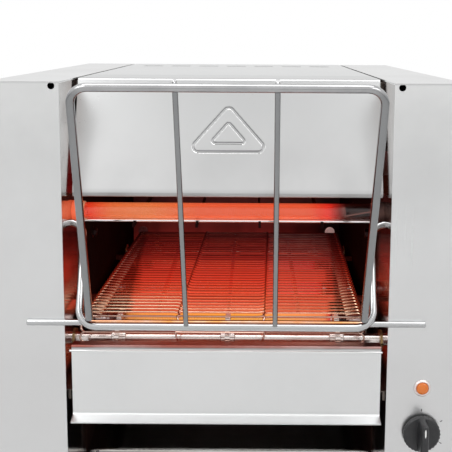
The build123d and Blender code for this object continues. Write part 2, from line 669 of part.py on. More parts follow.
def strand():
    """One strand of the flat-flex belt, lying in X and Y: straight bars, Z-bends and edge arms."""
    half = BELT_WIRE / 2
    edge = BELT_WIDTH / 2
    joint = BELT_WIDTH / BELT_SPACES / 2
    ahead = 2 * LOOP_RADIUS * math.sin(STRAND_TURN / 2) * math.cos((PITCH - Z_STEP) / 2 / LOOP_RADIUS)
    reach = ahead - TURNED_HALF - GAP
    right = [
        (joint + half, Z_STEP + half), (joint + half, half),
        (edge - BELT_WIRE, half), (edge - BELT_WIRE, reach),
        (edge, reach), (edge, -half),
        (joint - half, -half), (joint - half, Z_STEP - half),
    ]
    left = [(-x, y) for x, y in reversed(right)]
    outline = right + left
    return extrude(polygon(outline), BELT_WIRE / 2, both=True)


def conveyor_belt():
    """The closed belt: one strand at each pitch round the two shafts."""
    link = strand()
    made = []
    for index in range(STRANDS):
        start = loop_point(index * PITCH)
        ahead = loop_point(index * PITCH + Z_STEP)
        run = Vector(0, ahead[0] - start[0], ahead[1] - start[1])
        place = Plane(origin=(0, start[0], start[1]), x_dir=(1, 0, 0), z_dir=Vector(1, 0, 0).cross(run))
        made.append(place.location * link)
    return made


def sprocket():
    """Belt sprocket with its gullets, drawn in (Y, Z) about the shaft."""
    tip = LOOP_RADIUS * math.cos(Z_STEP / 2 / LOOP_RADIUS) - BELT_WIRE / 2 - SPROCKET_CLEAR
    root = tip - TOOTH_DEPTH
    outline = []
    for tooth in range(TOOTH_COUNT):
        angle = 2 * math.pi * tooth / TOOTH_COUNT
        half_tip = TOOTH_TIP * math.pi / TOOTH_COUNT
        half_gap = math.pi / TOOTH_COUNT
        outline.append((tip * math.cos(angle - half_tip), tip * math.sin(angle - half_tip)))
        outline.append((tip * math.cos(angle + half_tip), tip * math.sin(angle + half_tip)))
        outline.append((root * math.cos(angle + half_gap), root * math.sin(angle + half_gap)))
    body = across(polygon(outline), -SPROCKET_WIDTH / 2, SPROCKET_WIDTH / 2)
    return body - socket_x(-SPROCKET_WIDTH, SPROCKET_WIDTH, 0, 0, SHAFT_RADIUS + WELD, 6)


def sprockets(y):
    """Three sprockets on a shaft, one under the middle of each space of the belt."""
    wheel = sprocket()
    outer = BELT_WIDTH * SPROCKET_PLACE
    return [Pos(x, y, SHAFT_Z) * wheel for x in (-outer, 0, outer)]


def front_shaft():
    """Idler shaft."""
    end = WALL_OUT + BUSH_LENGTH + SHAFT_OVER
    return rod_x(-end, end, SHAFT_Y, SHAFT_Z, SHAFT_RADIUS)


def drive_shaft():
    """Rear shaft, long enough at the right for the drive gear."""
    left = -WALL_OUT - BUSH_LENGTH - SHAFT_OVER
    return rod_x(left, GEAR_X + GEAR_FACE + SHAFT_OVER, REAR_SHAFT_Y, SHAFT_Z, SHAFT_RADIUS)


def shaft_bushes():
    """Octagonal bushes in the chamber walls."""
    made = []
    end = WALL_OUT + BUSH_LENGTH
    for y in (SHAFT_Y, REAR_SHAFT_Y):
        bush = socket_x(WALL_X - LINER, end, y, SHAFT_Z, BUSH_RADIUS, 8)
        bush -= socket_x(WALL_X - 2 * LINER, end + 1, y, SHAFT_Z, SHAFT_RADIUS + FIT, ROUND_SIDES)
        made += both_sides(bush)
    return made


def cross_bars():
    """Bars from wall to wall that carry the belt's support rails."""
    z = CROSS_BAR_Z
    half = CROSS_BAR_WIDTH / 2
    ys = (LOWER_TUBE_Y[0] + CROSS_BAR_INSET, LOWER_TUBE_Y[-1] - CROSS_BAR_INSET)
    return [block(-WALL_X, WALL_X, y - half, y + half, z, z + CROSS_BAR_DEPTH) for y in ys]


def belt_rails():
    """Rails under the upper run of the belt."""
    y0 = SHAFT_Y + LOOP_RADIUS + RAIL_CLEAR
    y1 = REAR_SHAFT_Y - LOOP_RADIUS - RAIL_CLEAR
    half = RAIL_WIDTH / 2
    return [block(x - half, x + half, y0, y1, RAIL_TOP_Z - RAIL_DEPTH, RAIL_TOP_Z) for x in RAIL_X]


# ---- drive ----
def gear_outline(teeth, phase):
    """Spur gear outline about the origin, flanks as three points each, one tooth at the phase."""
    pitch_radius = GEAR_MODULE * teeth / 2
    tip = pitch_radius + ADDENDUM * GEAR_MODULE
    root = pitch_radius - DEDENDUM * GEAR_MODULE
    step = 2 * math.pi / teeth
    half_pitch = (math.pi * GEAR_MODULE / 2 - BACKLASH) / 2 / pitch_radius
    flank = [(root, half_pitch * ROOT_SPREAD), (pitch_radius, half_pitch), (tip, half_pitch * TIP_SPREAD)]
    points = []
    for tooth in range(teeth):
        middle = phase + tooth * step
        rising = [(radius, middle - half) for radius, half in flank]
        falling = [(radius, middle + half) for radius, half in reversed(flank)]
        points += [(r * math.cos(a), r * math.sin(a)) for r, a in rising + falling]
    return points


def pinion_centre():
    """Centre (y, z) of the motor pinion, in mesh with the drive gear."""
    spacing = GEAR_MODULE * (GEAR_TEETH + PINION_TEETH) / 2
    angle = math.radians(PINION_ANGLE)
    return REAR_SHAFT_Y + spacing * math.cos(angle), SHAFT_Z + spacing * math.sin(angle)


def drive_gear():
    """Large spur gear on the drive shaft, one tooth pointing at the pinion."""
    face = polygon(gear_outline(GEAR_TEETH, math.radians(PINION_ANGLE)))
    x1 = GEAR_X + GEAR_FACE
    gear = Pos(0, REAR_SHAFT_Y, SHAFT_Z) * across(face, GEAR_X, x1)
    return gear - socket_x(GEAR_X - 1, x1 + 1, REAR_SHAFT_Y, SHAFT_Z, SHAFT_RADIUS + WELD, 6)


def motor_pinion():
    """Pinion on its motor shaft, one gap towards the gear."""
    y, z = pinion_centre()
    phase = math.radians(PINION_ANGLE) + math.pi + math.pi / PINION_TEETH
    face = polygon(gear_outline(PINION_TEETH, phase))
    pinion = Pos(0, y, z) * across(face, GEAR_X, GEAR_X + GEAR_FACE)
    return pinion + prism_x(GEAR_X - 2, MOTOR_X - GAP, y, z, MOTOR_SHAFT_RADIUS, 8)


def gear_motor():
    """Flat gearbox with the motor can on its outer side."""
    y, z = pinion_centre()
    back = MOTOR_X + GEARBOX_DEPTH
    box = block(MOTOR_X, back, y + GEARBOX_Y[0], y + GEARBOX_Y[1], z + GEARBOX_Z[0], z + GEARBOX_Z[1])
    return box + prism_x(back, back + MOTOR_DEPTH, y + MOTOR_Y, z + MOTOR_Z, MOTOR_RADIUS, ROUND_SIDES)


def motor_standoffs():
    """Posts between the chamber wall and the gearbox."""
    y, z = pinion_centre()
    front = y + GEARBOX_Y[0] + POST_INSET
    rear = y + GEARBOX_Y[1] - POST_INSET
    low = z + GEARBOX_Z[0] + POST_INSET
    high = z + GEARBOX_Z[1] - POST_INSET
    half = POST_HALF
    places = [(front, low), (front, high), (rear, low)]
    return [block(WALL_OUT, MOTOR_X, py - half, py + half, pz - half, pz + half) for py, pz in places]


# ---- rack ----
def lean(low, high):
    """Plane through two points (y, z): X across, Y from the low to the high point."""
    run = Vector(0, high[0] - low[0], high[1] - low[1])
    return Plane(origin=(0, low[0], low[1]), x_dir=(1, 0, 0), z_dir=Vector(1, 0, 0).cross(run))


def wire_along(plane, points, radii, diameter):
    """A round wire along a filleted line drawn on the plane."""
    path = plane * FilletPolyline(*points, radius=radii)
    section = Plane(origin=path @ 0, x_dir=plane.z_dir, z_dir=path % 0)
    return sweep(section * RegularPolygon(diameter / 2, WIRE_SIDES), path=path)


def rack_frame():
    """Loading frame of the rack: two leaning legs and the top bar."""
    half = FRAME_WIDTH / 2
    points = [(-half, 0), (-half, FRAME_LENGTH), (half, FRAME_LENGTH), (half, 0)]
    return wire_along(lean(FRAME_FOOT, (RACK_TOP_Y, RACK_TOP_Z)), points, FRAME_BEND, FRAME_WIRE)


def rack_hanger():
    """Lower bar, two legs that lean back, and the hooks that turn in the chamber walls."""
    half = HANGER_WIDTH / 2
    tip = WALL_OUT + HOOK_OVER
    points = [
        (-tip, HANGER_LENGTH), (-half, HANGER_LENGTH), (-half, 0),
        (half, 0), (half, HANGER_LENGTH), (tip, HANGER_LENGTH),
    ]
    radii = [HOOK_BEND, HANGER_BEND, HANGER_BEND, HOOK_BEND]
    return wire_along(lean((HANGER_Y, HANGER_Z), (PIVOT_Y, PIVOT_Z)), points, radii, FRAME_WIRE)


def rack_inner_wires():
    """Two thinner wires that stand on the lower bar and pass behind the top bar, with free ends."""
    run = Vector(0, RACK_TOP_Y - HANGER_Y, RACK_TOP_Z - HANGER_Z).normalized()
    behind = Vector(0, run.Z, -run.Y)
    low = Vector(INNER_X, HANGER_Y, HANGER_Z) + run * (FRAME_WIRE / 2 + WELD) - behind * INNER_SET
    high = Vector(INNER_X, RACK_TOP_Y, RACK_TOP_Z) + behind * ((FRAME_WIRE + INNER_WIRE) / 2 + WELD)
    plane = Plane(origin=low, x_dir=(1, 0, 0), z_dir=high - low)
    wire = extrude(plane * RegularPolygon(INNER_WIRE / 2, WIRE_SIDES), (high - low).length + INNER_OVER)
    return both_sides(wire)


def rack_stop_rod():
    """Long rod that rests against both front faces."""
    half = STOP_LENGTH / 2
    return prism_x(-half, half, STOP_Y, STOP_Z, STOP_WIRE / 2, WIRE_SIDES)


# ---- trays and slide ----
def crumb_tray():
    """Crumb tray: front panel with a folded top and a finger lip, floor and low side lips."""
    half = WALL_X - PANEL_SIDE
    points = [
        (PANEL_FOLD, PANEL_TOP_Z), (0, PANEL_TOP_Z),
        (0, PANEL_LOW_Z), (-PANEL_FOLD, PANEL_LOW_Z - PANEL_FOLD_DROP),
    ]
    front = bent_sheet(points, SHEET, PANEL_BEND, -half, half)
    x = WALL_X - CRUMB_SIDE
    tray = block(-x, x, SHEET, CRUMB_LENGTH, CRUMB_FLOOR_Z, CRUMB_FLOOR_Z + CRUMB_LIP)
    tray -= block(-x + LINER, x - LINER, 0, CRUMB_LENGTH - LINER, CRUMB_FLOOR_Z + LINER, PANEL_TOP_Z)
    return front + tray


def crumb_rails():
    """Angles on the chamber walls that the crumb tray runs on."""
    x = WALL_X - CRUMB_SIDE - CRUMB_RAIL_LAP
    z = CRUMB_FLOOR_Z - GAP
    flat = block(x, WALL_X, CRUMB_RAIL_FRONT, CRUMB_LENGTH, z - LINER, z)
    leg = block(WALL_X - LINER, WALL_X, CRUMB_RAIL_FRONT, CRUMB_LENGTH, z - CRUMB_RAIL_LEG, z - LINER)
    return both_sides(flat + leg)


def toast_slide():
    """Polished slide: steep curve at the back, gentle slope to the front."""
    x = WALL_X - GAP
    rise = (SLIDE_BACK_Y - SLIDE_FRONT_Y) * math.tan(math.radians(SLIDE_ANGLE))
    points = [
        (SLIDE_FRONT_Y, FLOOR_Z + GAP), (SLIDE_FRONT_Y, SLIDE_FRONT_Z),
        (SLIDE_BACK_Y, SLIDE_FRONT_Z + rise), (SLIDE_BACK_Y, SLIDE_BACK_Z),
    ]
    return bent_sheet(points, LINER, SLIDE_BENDS, -x, x)


def toast_tray():
    """Tray that catches the toast, with low sides and a raised front lip."""
    x = WALL_X - TOAST_TRAY_SPACE
    z = FLOOR_Z + GAP
    tray = block(-x, x, TOAST_TRAY_FRONT, TOAST_TRAY_BACK, z, z + TOAST_TRAY_SIDE)
    tray -= block(-x + SHEET, x - SHEET, TOAST_TRAY_FRONT + SHEET, TOAST_TRAY_BACK + 1, z + SHEET, HEIGHT)
    return tray


# ---- controls and electrics ----
def knob(z):
    """Round knob with a grip bar, on its spindle."""
    back = -KNOB_SPACE
    front = back - KNOB_SKIRT
    skirt = prism_y(CONTROL_X, front, back, z, KNOB_RADIUS, KNOB_SIDES)
    grip = KNOB_RADIUS - GRIP_EDGE
    x = CONTROL_X
    bar = block(x - GRIP_HALF, x + GRIP_HALF, back - KNOB_LENGTH, front, z - grip, z + grip)
    spindle = prism_y(CONTROL_X, back, SHEET - GAP, z, SPINDLE_RADIUS, 8)
    return skirt + bar + spindle


def control_body(z, size, depth):
    """Body behind the panel that the spindle turns."""
    half = size / 2
    return block(CONTROL_X - half, CONTROL_X + half, SHEET, SHEET + depth, z - half, z + half)


def pilot_lamp():
    """Lens that stands out of the panel, with its body behind it."""
    return prism_y(CONTROL_X, -LAMP_OUT, SHEET + LAMP_BODY, LAMP_Z, LAMP_RADIUS, ROUND_SIDES)


def control_board():
    """Board on the outer side of the right compartment, with a relay and a transformer on it."""
    y0, y1 = BOARD_Y
    z0, z1 = BOARD_Z
    board = block(BOARD_X, BOARD_X + BOARD_THICK, y0, y1, z0, z1)
    out, along, up = RELAY
    board += block(BOARD_X - out, BOARD_X, y0 + 15, y0 + 15 + along, z0 + 10, z0 + 10 + up)
    out, along, up = TRANSFORMER
    return board + block(BOARD_X - out, BOARD_X, y1 - 15 - along, y1 - 15, z1 - 10 - up, z1 - 10)


def board_standoffs():
    """Posts from the side cover to the board."""
    half = BOARD_POST_HALF
    x = BOARD_X + BOARD_THICK
    posts = []
    for y in (BOARD_Y[0] + BOARD_POST_INSET, BOARD_Y[1] - BOARD_POST_INSET):
        for z in (BOARD_Z[0] + BOARD_POST_INSET, BOARD_Z[1] - BOARD_POST_INSET):
            posts.append(block(x, HALF_W - SHEET, y - half, y + half, z - half, z + half))
    return posts


def terminal_block():
    """Row of mains terminals on the base pan, with walls between the ways."""
    length, width, height = TERMINAL_SIZE
    thick, rise = TERMINAL_WALL
    x0 = GLAND_X - length / 2
    y1 = TERMINAL_Y + width
    z1 = FLOOR_Z + height
    terminals = block(x0, x0 + length, TERMINAL_Y, y1, FLOOR_Z, z1)
    for wall in range(TERMINAL_WALLS):
        x = x0 + wall * (length - thick) / (TERMINAL_WALLS - 1)
        terminals += block(x, x + thick, TERMINAL_Y, y1, z1, z1 + rise)
    return terminals


def fan_frame():
    """Square fan frame behind the rear cover, with its motor boss on two struts."""
    y1 = DEPTH - 2 * SHEET
    y0 = y1 - FAN_DEPTH
    half = FAN_SIZE / 2
    frame = block(-FAN_X - half, -FAN_X + half, y0, y1, FAN_Z - half, FAN_Z + half)
    frame -= prism_y(-FAN_X, y0 - 1, y1 + 1, FAN_Z, half - FAN_WALL, ROUND_SIDES)
    high, deep = FAN_STRUT
    reach = half - FAN_WALL
    strut = block(-FAN_X - reach, -FAN_X + reach, y0, y0 + deep, FAN_Z - high / 2, FAN_Z + high / 2)
    return frame + strut + prism_y(-FAN_X, y0, y0 + FAN_BOSS_DEPTH, FAN_Z, FAN_HUB, ROUND_SIDES)


def fan_impeller():
    """Hub with five slanted blades."""
    y1 = DEPTH - 2 * SHEET - HUB_SPACE
    hub = prism_y(-FAN_X, y1 - HUB_DEPTH, y1, FAN_Z, FAN_HUB, ROUND_SIDES)
    blade = Pos(BLADE_REACH, 0, 0) * Rot(BLADE_TWIST, 0, 0) * Box(*BLADE)
    for index in range(FAN_BLADES):
        hub += Pos(-FAN_X, y1 - HUB_DEPTH / 2, FAN_Z) * Rot(0, 360 / FAN_BLADES * index, 0) * blade
    return hub


def cable_gland():
    """Gland in the rear cover with a bore for the mains lead: neck, collar and clamping nut."""
    y0 = DEPTH - SHEET
    y1 = DEPTH + GLAND_LENGTH
    y2 = y0 + GLAND_COLLAR_LENGTH
    neck = prism_y(GLAND_X, y0 - SHEET - GLAND_NECK_LENGTH, y0, GLAND_Z, GLAND_NECK, ROUND_SIDES)
    collar = prism_y(GLAND_X, y0, y2, GLAND_Z, GLAND_COLLAR, 6)
    nut = prism_y(GLAND_X, y2, y1, GLAND_Z, GLAND_NUT, 6)
    return neck + collar + nut - rod_y(GLAND_X, y0 - GLAND_LENGTH, y1 + 1, GLAND_Z, GLAND_BORE)


def cover_screws():
    """Hexagon screws on the rear returns and low on both sides."""
    size = (COVER_SCREW_FLATS, COVER_SCREW_HEIGHT)
    screws = []
    from_top, from_end = COVER_SCREW_INSET
    for z in COVER_SCREW_Z + [HEIGHT - from_top]:
        screws += both_sides(hex_screw(HALF_W - REAR_RETURN / 2, DEPTH, z, (0, 1, 0), *size))
    for y in (from_end, DEPTH - from_end):
        screws += both_sides(hex_screw(HALF_W, y, FOOT_HEIGHT + COVER_SCREW_RISE, (1, 0, 0), *size))
    return screws


NODES = {
    "base_pan": base_pan,
    "rubber_feet": feet,
    "left_side_cover": lambda: mirror(side_cover(False), Plane.YZ),
    "right_side_cover": lambda: side_cover(True),
    "hood_panel": hood_panel,
    "top_cover": top_cover,
    "roof_rails": roof_rail,
    "rear_cover": rear_cover,
    "left_chamber_wall": lambda: chamber_wall(-1),
    "right_chamber_wall": lambda: chamber_wall(1),
    "wall_screws": wall_screws,
    "upper_reflector": upper_reflector,
    "rear_deflector": rear_deflector,
    "deflector_screws": deflector_screws,
    "heat_shield": heat_shield,
    "upper_tubes": lambda: tubes(UPPER_TUBE_Y, UPPER_TUBE_Z, TUBE_END),
    "upper_coils": lambda: coils(UPPER_TUBE_Y, UPPER_TUBE_Z, TUBE_END),
    "upper_ceramics": lambda: ceramic_ends(UPPER_TUBE_Y, UPPER_TUBE_Z),
    "lower_tubes": lambda: tubes(LOWER_TUBE_Y, LOWER_TUBE_Z, LOWER_TUBE_END),
    "lower_coils": lambda: coils(LOWER_TUBE_Y, LOWER_TUBE_Z, LOWER_TUBE_END),
    "lower_tube_caps": lambda: lower_caps(LOWER_TUBE_Y, LOWER_TUBE_Z),
    "lower_tube_brackets": lower_brackets,
    "guard_rods": guard_rods,
    "guard_strips": guard_strips,
    "lower_reflector": lower_reflector,
    "conveyor_belt": conveyor_belt,
    "front_shaft": front_shaft,
    "front_sprockets": lambda: sprockets(SHAFT_Y),
    "drive_shaft": drive_shaft,
    "rear_sprockets": lambda: sprockets(REAR_SHAFT_Y),
    "shaft_bushes": shaft_bushes,
    "cross_bars": cross_bars,
    "belt_rails": belt_rails,
    "drive_gear": drive_gear,
    "motor_pinion": motor_pinion,
    "gear_motor": gear_motor,
    "motor_standoffs": motor_standoffs,
    "rack_frame": rack_frame,
    "rack_hanger": rack_hanger,
    "rack_inner_wires": rack_inner_wires,
    "rack_stop_rod": rack_stop_rod,
    "crumb_tray": crumb_tray,
    "crumb_rails": crumb_rails,
    "toast_slide": toast_slide,
    "toast_tray": toast_tray,
    "mode_knob": lambda: knob(MODE_Z),
    "speed_knob": lambda: knob(SPEED_Z),
    "mode_switch": lambda: control_body(MODE_Z, SWITCH_SIZE, SWITCH_DEPTH),
    "speed_control": lambda: control_body(SPEED_Z, SPEED_SIZE, SPEED_DEPTH),
    "pilot_lamp": pilot_lamp,
    "control_board": control_board,
    "board_standoffs": board_standoffs,
    "terminal_block": terminal_block,
    "fan_frame": fan_frame,
    "fan_impeller": fan_impeller,
    "cable_gland": cable_gland,
    "cover_screws": cover_screws,
}


def main():
    """Write one STEP file for each piece or group of like pieces."""
    os.makedirs("parts", exist_ok=True)
    shift = Location((0, -MIDDLE_Y, 0))
    for name, make in NODES.items():
        made = make()
        solids = made if isinstance(made, list) else [made]
        moved = [shift * solid for solid in solids]
        shape = moved[0] if len(moved) == 1 else Compound(children=moved)
        export_step(shape, f"parts/{name}.step")


if __name__ == "__main__":
    main()
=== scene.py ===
import bmesh
import bpy
import json
import math
from mathutils import Matrix, Vector


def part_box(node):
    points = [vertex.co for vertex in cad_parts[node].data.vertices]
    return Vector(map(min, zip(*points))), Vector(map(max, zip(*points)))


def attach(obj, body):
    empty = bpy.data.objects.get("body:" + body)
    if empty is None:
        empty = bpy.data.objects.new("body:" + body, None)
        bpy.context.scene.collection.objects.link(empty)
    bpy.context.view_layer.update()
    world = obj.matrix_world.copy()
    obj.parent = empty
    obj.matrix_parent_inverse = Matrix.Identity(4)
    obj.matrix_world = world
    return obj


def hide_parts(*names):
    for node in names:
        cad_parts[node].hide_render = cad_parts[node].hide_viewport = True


# Conveyor toaster. X runs across the front, Y runs back, Z is up, all in metres.
# depth is measured back from the front faces of the side covers.
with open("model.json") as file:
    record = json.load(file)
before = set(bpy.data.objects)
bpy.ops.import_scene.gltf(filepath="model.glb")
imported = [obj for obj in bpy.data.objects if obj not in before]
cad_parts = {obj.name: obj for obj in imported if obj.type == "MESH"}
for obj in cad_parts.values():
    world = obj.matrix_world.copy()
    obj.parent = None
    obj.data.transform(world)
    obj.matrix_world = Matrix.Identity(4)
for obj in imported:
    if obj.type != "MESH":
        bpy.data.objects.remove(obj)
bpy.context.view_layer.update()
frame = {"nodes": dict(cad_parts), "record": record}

MM = 0.001
FRONT_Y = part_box("right_side_cover")[0].y
WALL_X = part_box("right_chamber_wall")[0].x


def at(x, depth, z):
    """A point given in millimetres: across, back from the front faces, up from the table."""
    return Vector((x * MM, FRONT_Y + depth * MM, z * MM))


# ---- camera ----
IMAGE_SIZE = 452
FOCAL_PIXELS = 796.7
EYE = at(20.6, -603.2, 422.2)
PITCH = 7.5               # degrees below the horizon
ROLL = 0.35
SENSOR = 36.0
SHIFT_X = -0.0612
SHIFT_Y = -0.1887

# ---- studio ----
FLOOR_HALF = 6.0
FLOOR_GREY = (0.78, 0.78, 0.78)
SKY_LEVEL = 0.5           # light from above and behind, 1 being white
SKY_AHEAD = 0.5           # what comes on top of it from the front
AIM_Z = 260.0             # height of the opening, in millimetres

# ---- belt, in millimetres ----
STRANDS = 87
BELT_WIRE = 1.7
BELT_START = 1.7          # first strand behind the top of the front shaft
SHAFT_DEPTH = 36.0
SHAFT_SPAN = 270.0
SHAFT_Z = 171.0
LOOP_RADIUS = 22.0
LOOP_LENGTH = 2 * SHAFT_SPAN + 2 * math.pi * LOOP_RADIUS
STRAND_PITCH = LOOP_LENGTH / STRANDS
JOINT_LEFT = -37.0        # inner joint columns
JOINT_RIGHT = 33.5
EDGE_JOINT_X = 104.3      # joint columns beside the edge loops
EDGE_X = 115.0            # middle of the wire at the edge of the belt
DRIFT = 3.5               # the belt runs this far to the left at the front, to the right at the back
JOINT_CROSS = 1.2         # how far a strand passes the joint's middle
JOINT_REACH = 5.0         # how far its bend reaches to either side
JOINT_BENDS = [2.0, 0.8, 0.8, 2.0]
HOOK_OVER = 0.5           # how far the end hook passes the joint's middle, and how far back its tip comes
HOOK_BACK = 2.5
LOOP_STEPS = 8            # straight stretches in an edge loop
JOINT_RISE = 0.9          # how far it passes over or under its neighbour
SPROCKET_TEETH = 18
SPROCKET_X = [-90.2, 0.0, 90.2]
SPROCKET_TIP = 20.7
SPROCKET_ROOT = 17.4
TOOTH_FOOT = 0.3          # where a tooth's flank starts, and how wide it is, in half pitches
TOOTH_FLANK = 0.45
TOOTH_SIDES = 12
FRONT_TOOTH = 95.7        # degrees of a tooth that stands in a gap of the belt
REAR_TOOTH = 88.3
SPROCKET_WIDTH = 4.0
HUB_RADIUS = 9.0
HUB_WIDTH = 12.0
SHAFT_RADIUS = 5.0

# ---- rack, in millimetres ----
FRAME_WIRE = 6.0
INNER_WIRE = 4.0
STOP_WIRE = 5.0
STOP_LENGTH = 312.0
FRAME_LOW_X = (-105.8, 107.0)  # the rack leans a little to the right
FRAME_TOP_X = (-101.2, 107.8)
HANGER_WIDTH = 229.0
HANGER_TOP_X = 116.5      # its legs spread towards the hooks
FRAME_BEND = 12.0
HANGER_BEND = 14.0
HOOK_BEND = 12.0
INNER_LOW_X = (-30.8, 38.0)
INNER_TOP_X = (-32.0, 36.4)
INNER_SET = 1.0           # foot of the inner wires in front of the lower bar's middle
INNER_OVER = 3.5          # their free ends past the top bar's middle
INNER_NOSE = 0.4          # length of the taper there
STOP_DEPTH = -2.8
STOP_Z = 198.7
HANGER_DEPTH = -9.48
HANGER_Z = 198.0
PIVOT_DEPTH = 29.83
PIVOT_Z = 271.0
HOOK_TIP = 131.5
FOOT_Z = 204.2
RACK_TOP_DEPTH = -80.0
RACK_TOP_Z = 388.0

# ---- heaters, in millimetres ----
UPPER_TUBES = [40.0, 150.0, 260.0]
UPPER_Z = 279.0
LOWER_TUBES = [80.0, 171.0, 262.0]
LOWER_Z = 171.0
TUBE_RADIUS = 6.5
TUBE_WALL = 1.2
COIL_RADIUS = 3.9
COIL_WIRE = 0.9
COIL_PITCH = 1.5
LOWER_HALF = 105.5
CAP_LENGTH = 13.0
CAP_RADIUS = 8.0
CLIP_LENGTH = 6.0
SLEEVE_LENGTH = 10.0
UPPER_GLOW = (-118.0, 96.0)   # lit stretch of the upper coils
LOWER_GLOW = (-90.0, 88.0)
GUARD_Z = 270.0
GUARD_DEPTHS = [44.0, 274.0]
GUARD_RADIUS = 1.5

# ---- controls and small pieces, in millimetres ----
CONTROL_X = 156.0
KNOBS = {"mode_knob": 108.0, "speed_knob": 62.0}
KNOB_RADIUS = 15.0
KNOB_SKIRT = 4.0
KNOB_LENGTH = 17.0
KNOB_SPACE = 1.0
GRIP_HALF = 3.5
GRIP_REACH = 13.5
LINE_RISE = 7.5           # middle of a knob's white line above the knob's middle
DIALS = [("mode_knob", 4, 180.0, 0.0), ("speed_knob", 10, 270.0, 0.16)]  # strokes, degrees, growth
DIAL_RADIUS = 17.4
STROKE_HALF = 1.1
LAMP_Z = 145.0
GLAND_X = 150.0
GLAND_Z = 52.0
GLAND_DEPTH = 388.8       # outer face of the rear cover
FOOT_RADIUS = 15.0
HEM_RADIUS = 0.8
HEM_DROP = 1.0
HEM_INSET = 0.6

# ---- hood, in millimetres ----
HOOD_PROFILE = [(53.5, 293.0), (27.5, 293.0), (26.0, 296.5), (57.0, 387.0), (112.0, 387.0)]
HOOD_BENDS = [1.2, 1.2, 3.0]
HOOD_SHEET = 1.2
HOOD_HALF = 125.0
EMBLEM_LOW_Z = 328.6
EMBLEM_WIDTH = 68.0
EMBLEM_HEIGHT = 39.4
EMBLEM_CORNER = 4.5
GROOVE_WIDTH = 2.5
GROOVE_DEPTH = 1.5
GROOVE_LIGHT = Vector((0.35, 0.94))  # walls of the groove that face this way get a painted highlight, the others painted shade
GROOVE_SLOPE = 0.12       # least rise of a wall over the fine step that counts
INNER_SHARE = 0.45        # size of the inner triangle
FINE_STEP = 0.5
HOOD_EDGE = 0.4           # strip at either side edge
BEND_FINE = 6             # steps in a bend of the sheet
LONG_FACE = 60.0          # only the leaning face is longer than this
ON_FACE = 0.01            # how near a point lies to the face it counts as part of
EMBLEM_MARGIN = 3.0       # fine steps go on this far beyond the ornament

# ---- how finely round shapes are cut ----
BELT_SIDES = 8
COIL_SIDES = 5
COIL_STEPS = 12
WIRE_SIDES = 24
BAR_SIDES = 24
TUBE_SIDES = 40
TURNED_SIDES = 48
GLAND_SIDES = 96
KNOB_SIDES = 120
GRIP_SIDES = 64
MARK_SIDES = 24
HEM_SIDES = 16
BEND_STEPS = 12
PLAY = 0.05               # millimetres left between pieces that sit against each other
SMOOTH_ANGLE = 38         # degrees, above which an edge stays sharp
BEVEL_ANGLE = 50
BEVEL = 0.25              # millimetres, on the CAD shapes
SHEET_BEVEL = 0.5

# ---- colours and light ----
BLACK = (0.0, 0.0, 0.0)
STAINLESS = (0.78, 0.785, 0.785)
WIRE_GREY = (0.3, 0.305, 0.31)
# the frame's wire painted lighter as if lit, for the hanger and the stop rod's ends
WIRE_PAINTED_LIT = (0.52, 0.525, 0.53)
WIRE_MIDDLE_BROWN = (0.5, 0.2, 0.06)
GRAIN_HEIGHT = 0.00005    # metres
UNEVEN_HEIGHT = 0.0003
CLAY_HEIGHT = 0.0004
BELT_UP = 1.25            # upward part of the normal at which the light from below would be nil
RAIL_UP = 6.0
EDGE_LIGHT = 0.42         # light at the edges of the belt, as a share of the light over the tubes
RAIL_EDGE_LIGHT = 0.05
COIL_THROW = 4.0          # light that the coils throw, against how bright they look
LOWER_MIRRORED = 0.15     # how bright the lower coils look in mirror images, against the same


# =====================================================================
# node groups that several finishes share
# =====================================================================
def new_group(name, inputs, outputs):
    """An empty shader node group. inputs are names with their values, outputs are names."""
    group = bpy.data.node_groups.new(name, "ShaderNodeTree")
    for label, value in inputs.items():
        kind = "NodeSocketColor" if isinstance(value, tuple) else "NodeSocketFloat"
        group.interface.new_socket(label, in_out="INPUT", socket_type=kind).default_value = value
    for label in outputs:
        kind = "NodeSocketColor" if label == "Color" else "NodeSocketFloat"
        group.interface.new_socket(label, in_out="OUTPUT", socket_type=kind)
    return group, group.nodes.new("NodeGroupInput"), group.nodes.new("NodeGroupOutput")


def node(tree, kind, **settings):
    """A node with its properties and its input values set. Inputs are given as in_Scale and so on."""
    made = tree.nodes.new(kind)
    for key, value in settings.items():
        if key.startswith("in_"):
            made.inputs[key[3:].replace("_", " ")].default_value = value
        else:
            setattr(made, key, value)
    return made


def join(tree, *pairs):
    for out, into in pairs:
        tree.links.new(out, into)


def maths(tree, operation, first, second, clamp=False):
    """A Math node. Its operands are numbers or sockets, and its result is returned."""
    made = node(tree, "ShaderNodeMath", operation=operation, use_clamp=clamp)
    for socket, value in zip(made.inputs, (first, second)):
        if isinstance(value, (int, float)):
            socket.default_value = value
        else:
            join(tree, (value, socket))
    return made.outputs[0]


def object_place(tree):
    """A point's place on the part at rest, in metres."""
    return node(tree, "ShaderNodeTexCoord").outputs["Object"]


def object_axes(tree):
    """The same place as three numbers, X, Y and Z."""
    parts = node(tree, "ShaderNodeSeparateXYZ")
    join(tree, (object_place(tree), parts.inputs["Vector"]))
    return parts.outputs


def stretched_noise(tree, scale, detail=2.0, roughness=0.5):
    """Noise with its own scale along each axis."""
    mapping = node(tree, "ShaderNodeMapping", in_Scale=scale)
    noise = node(tree, "ShaderNodeTexNoise", in_Scale=1.0, in_Detail=detail, in_Roughness=roughness)
    join(tree, (object_place(tree), mapping.inputs["Vector"]), (mapping.outputs["Vector"], noise.inputs["Vector"]))
    return noise.outputs["Fac"]


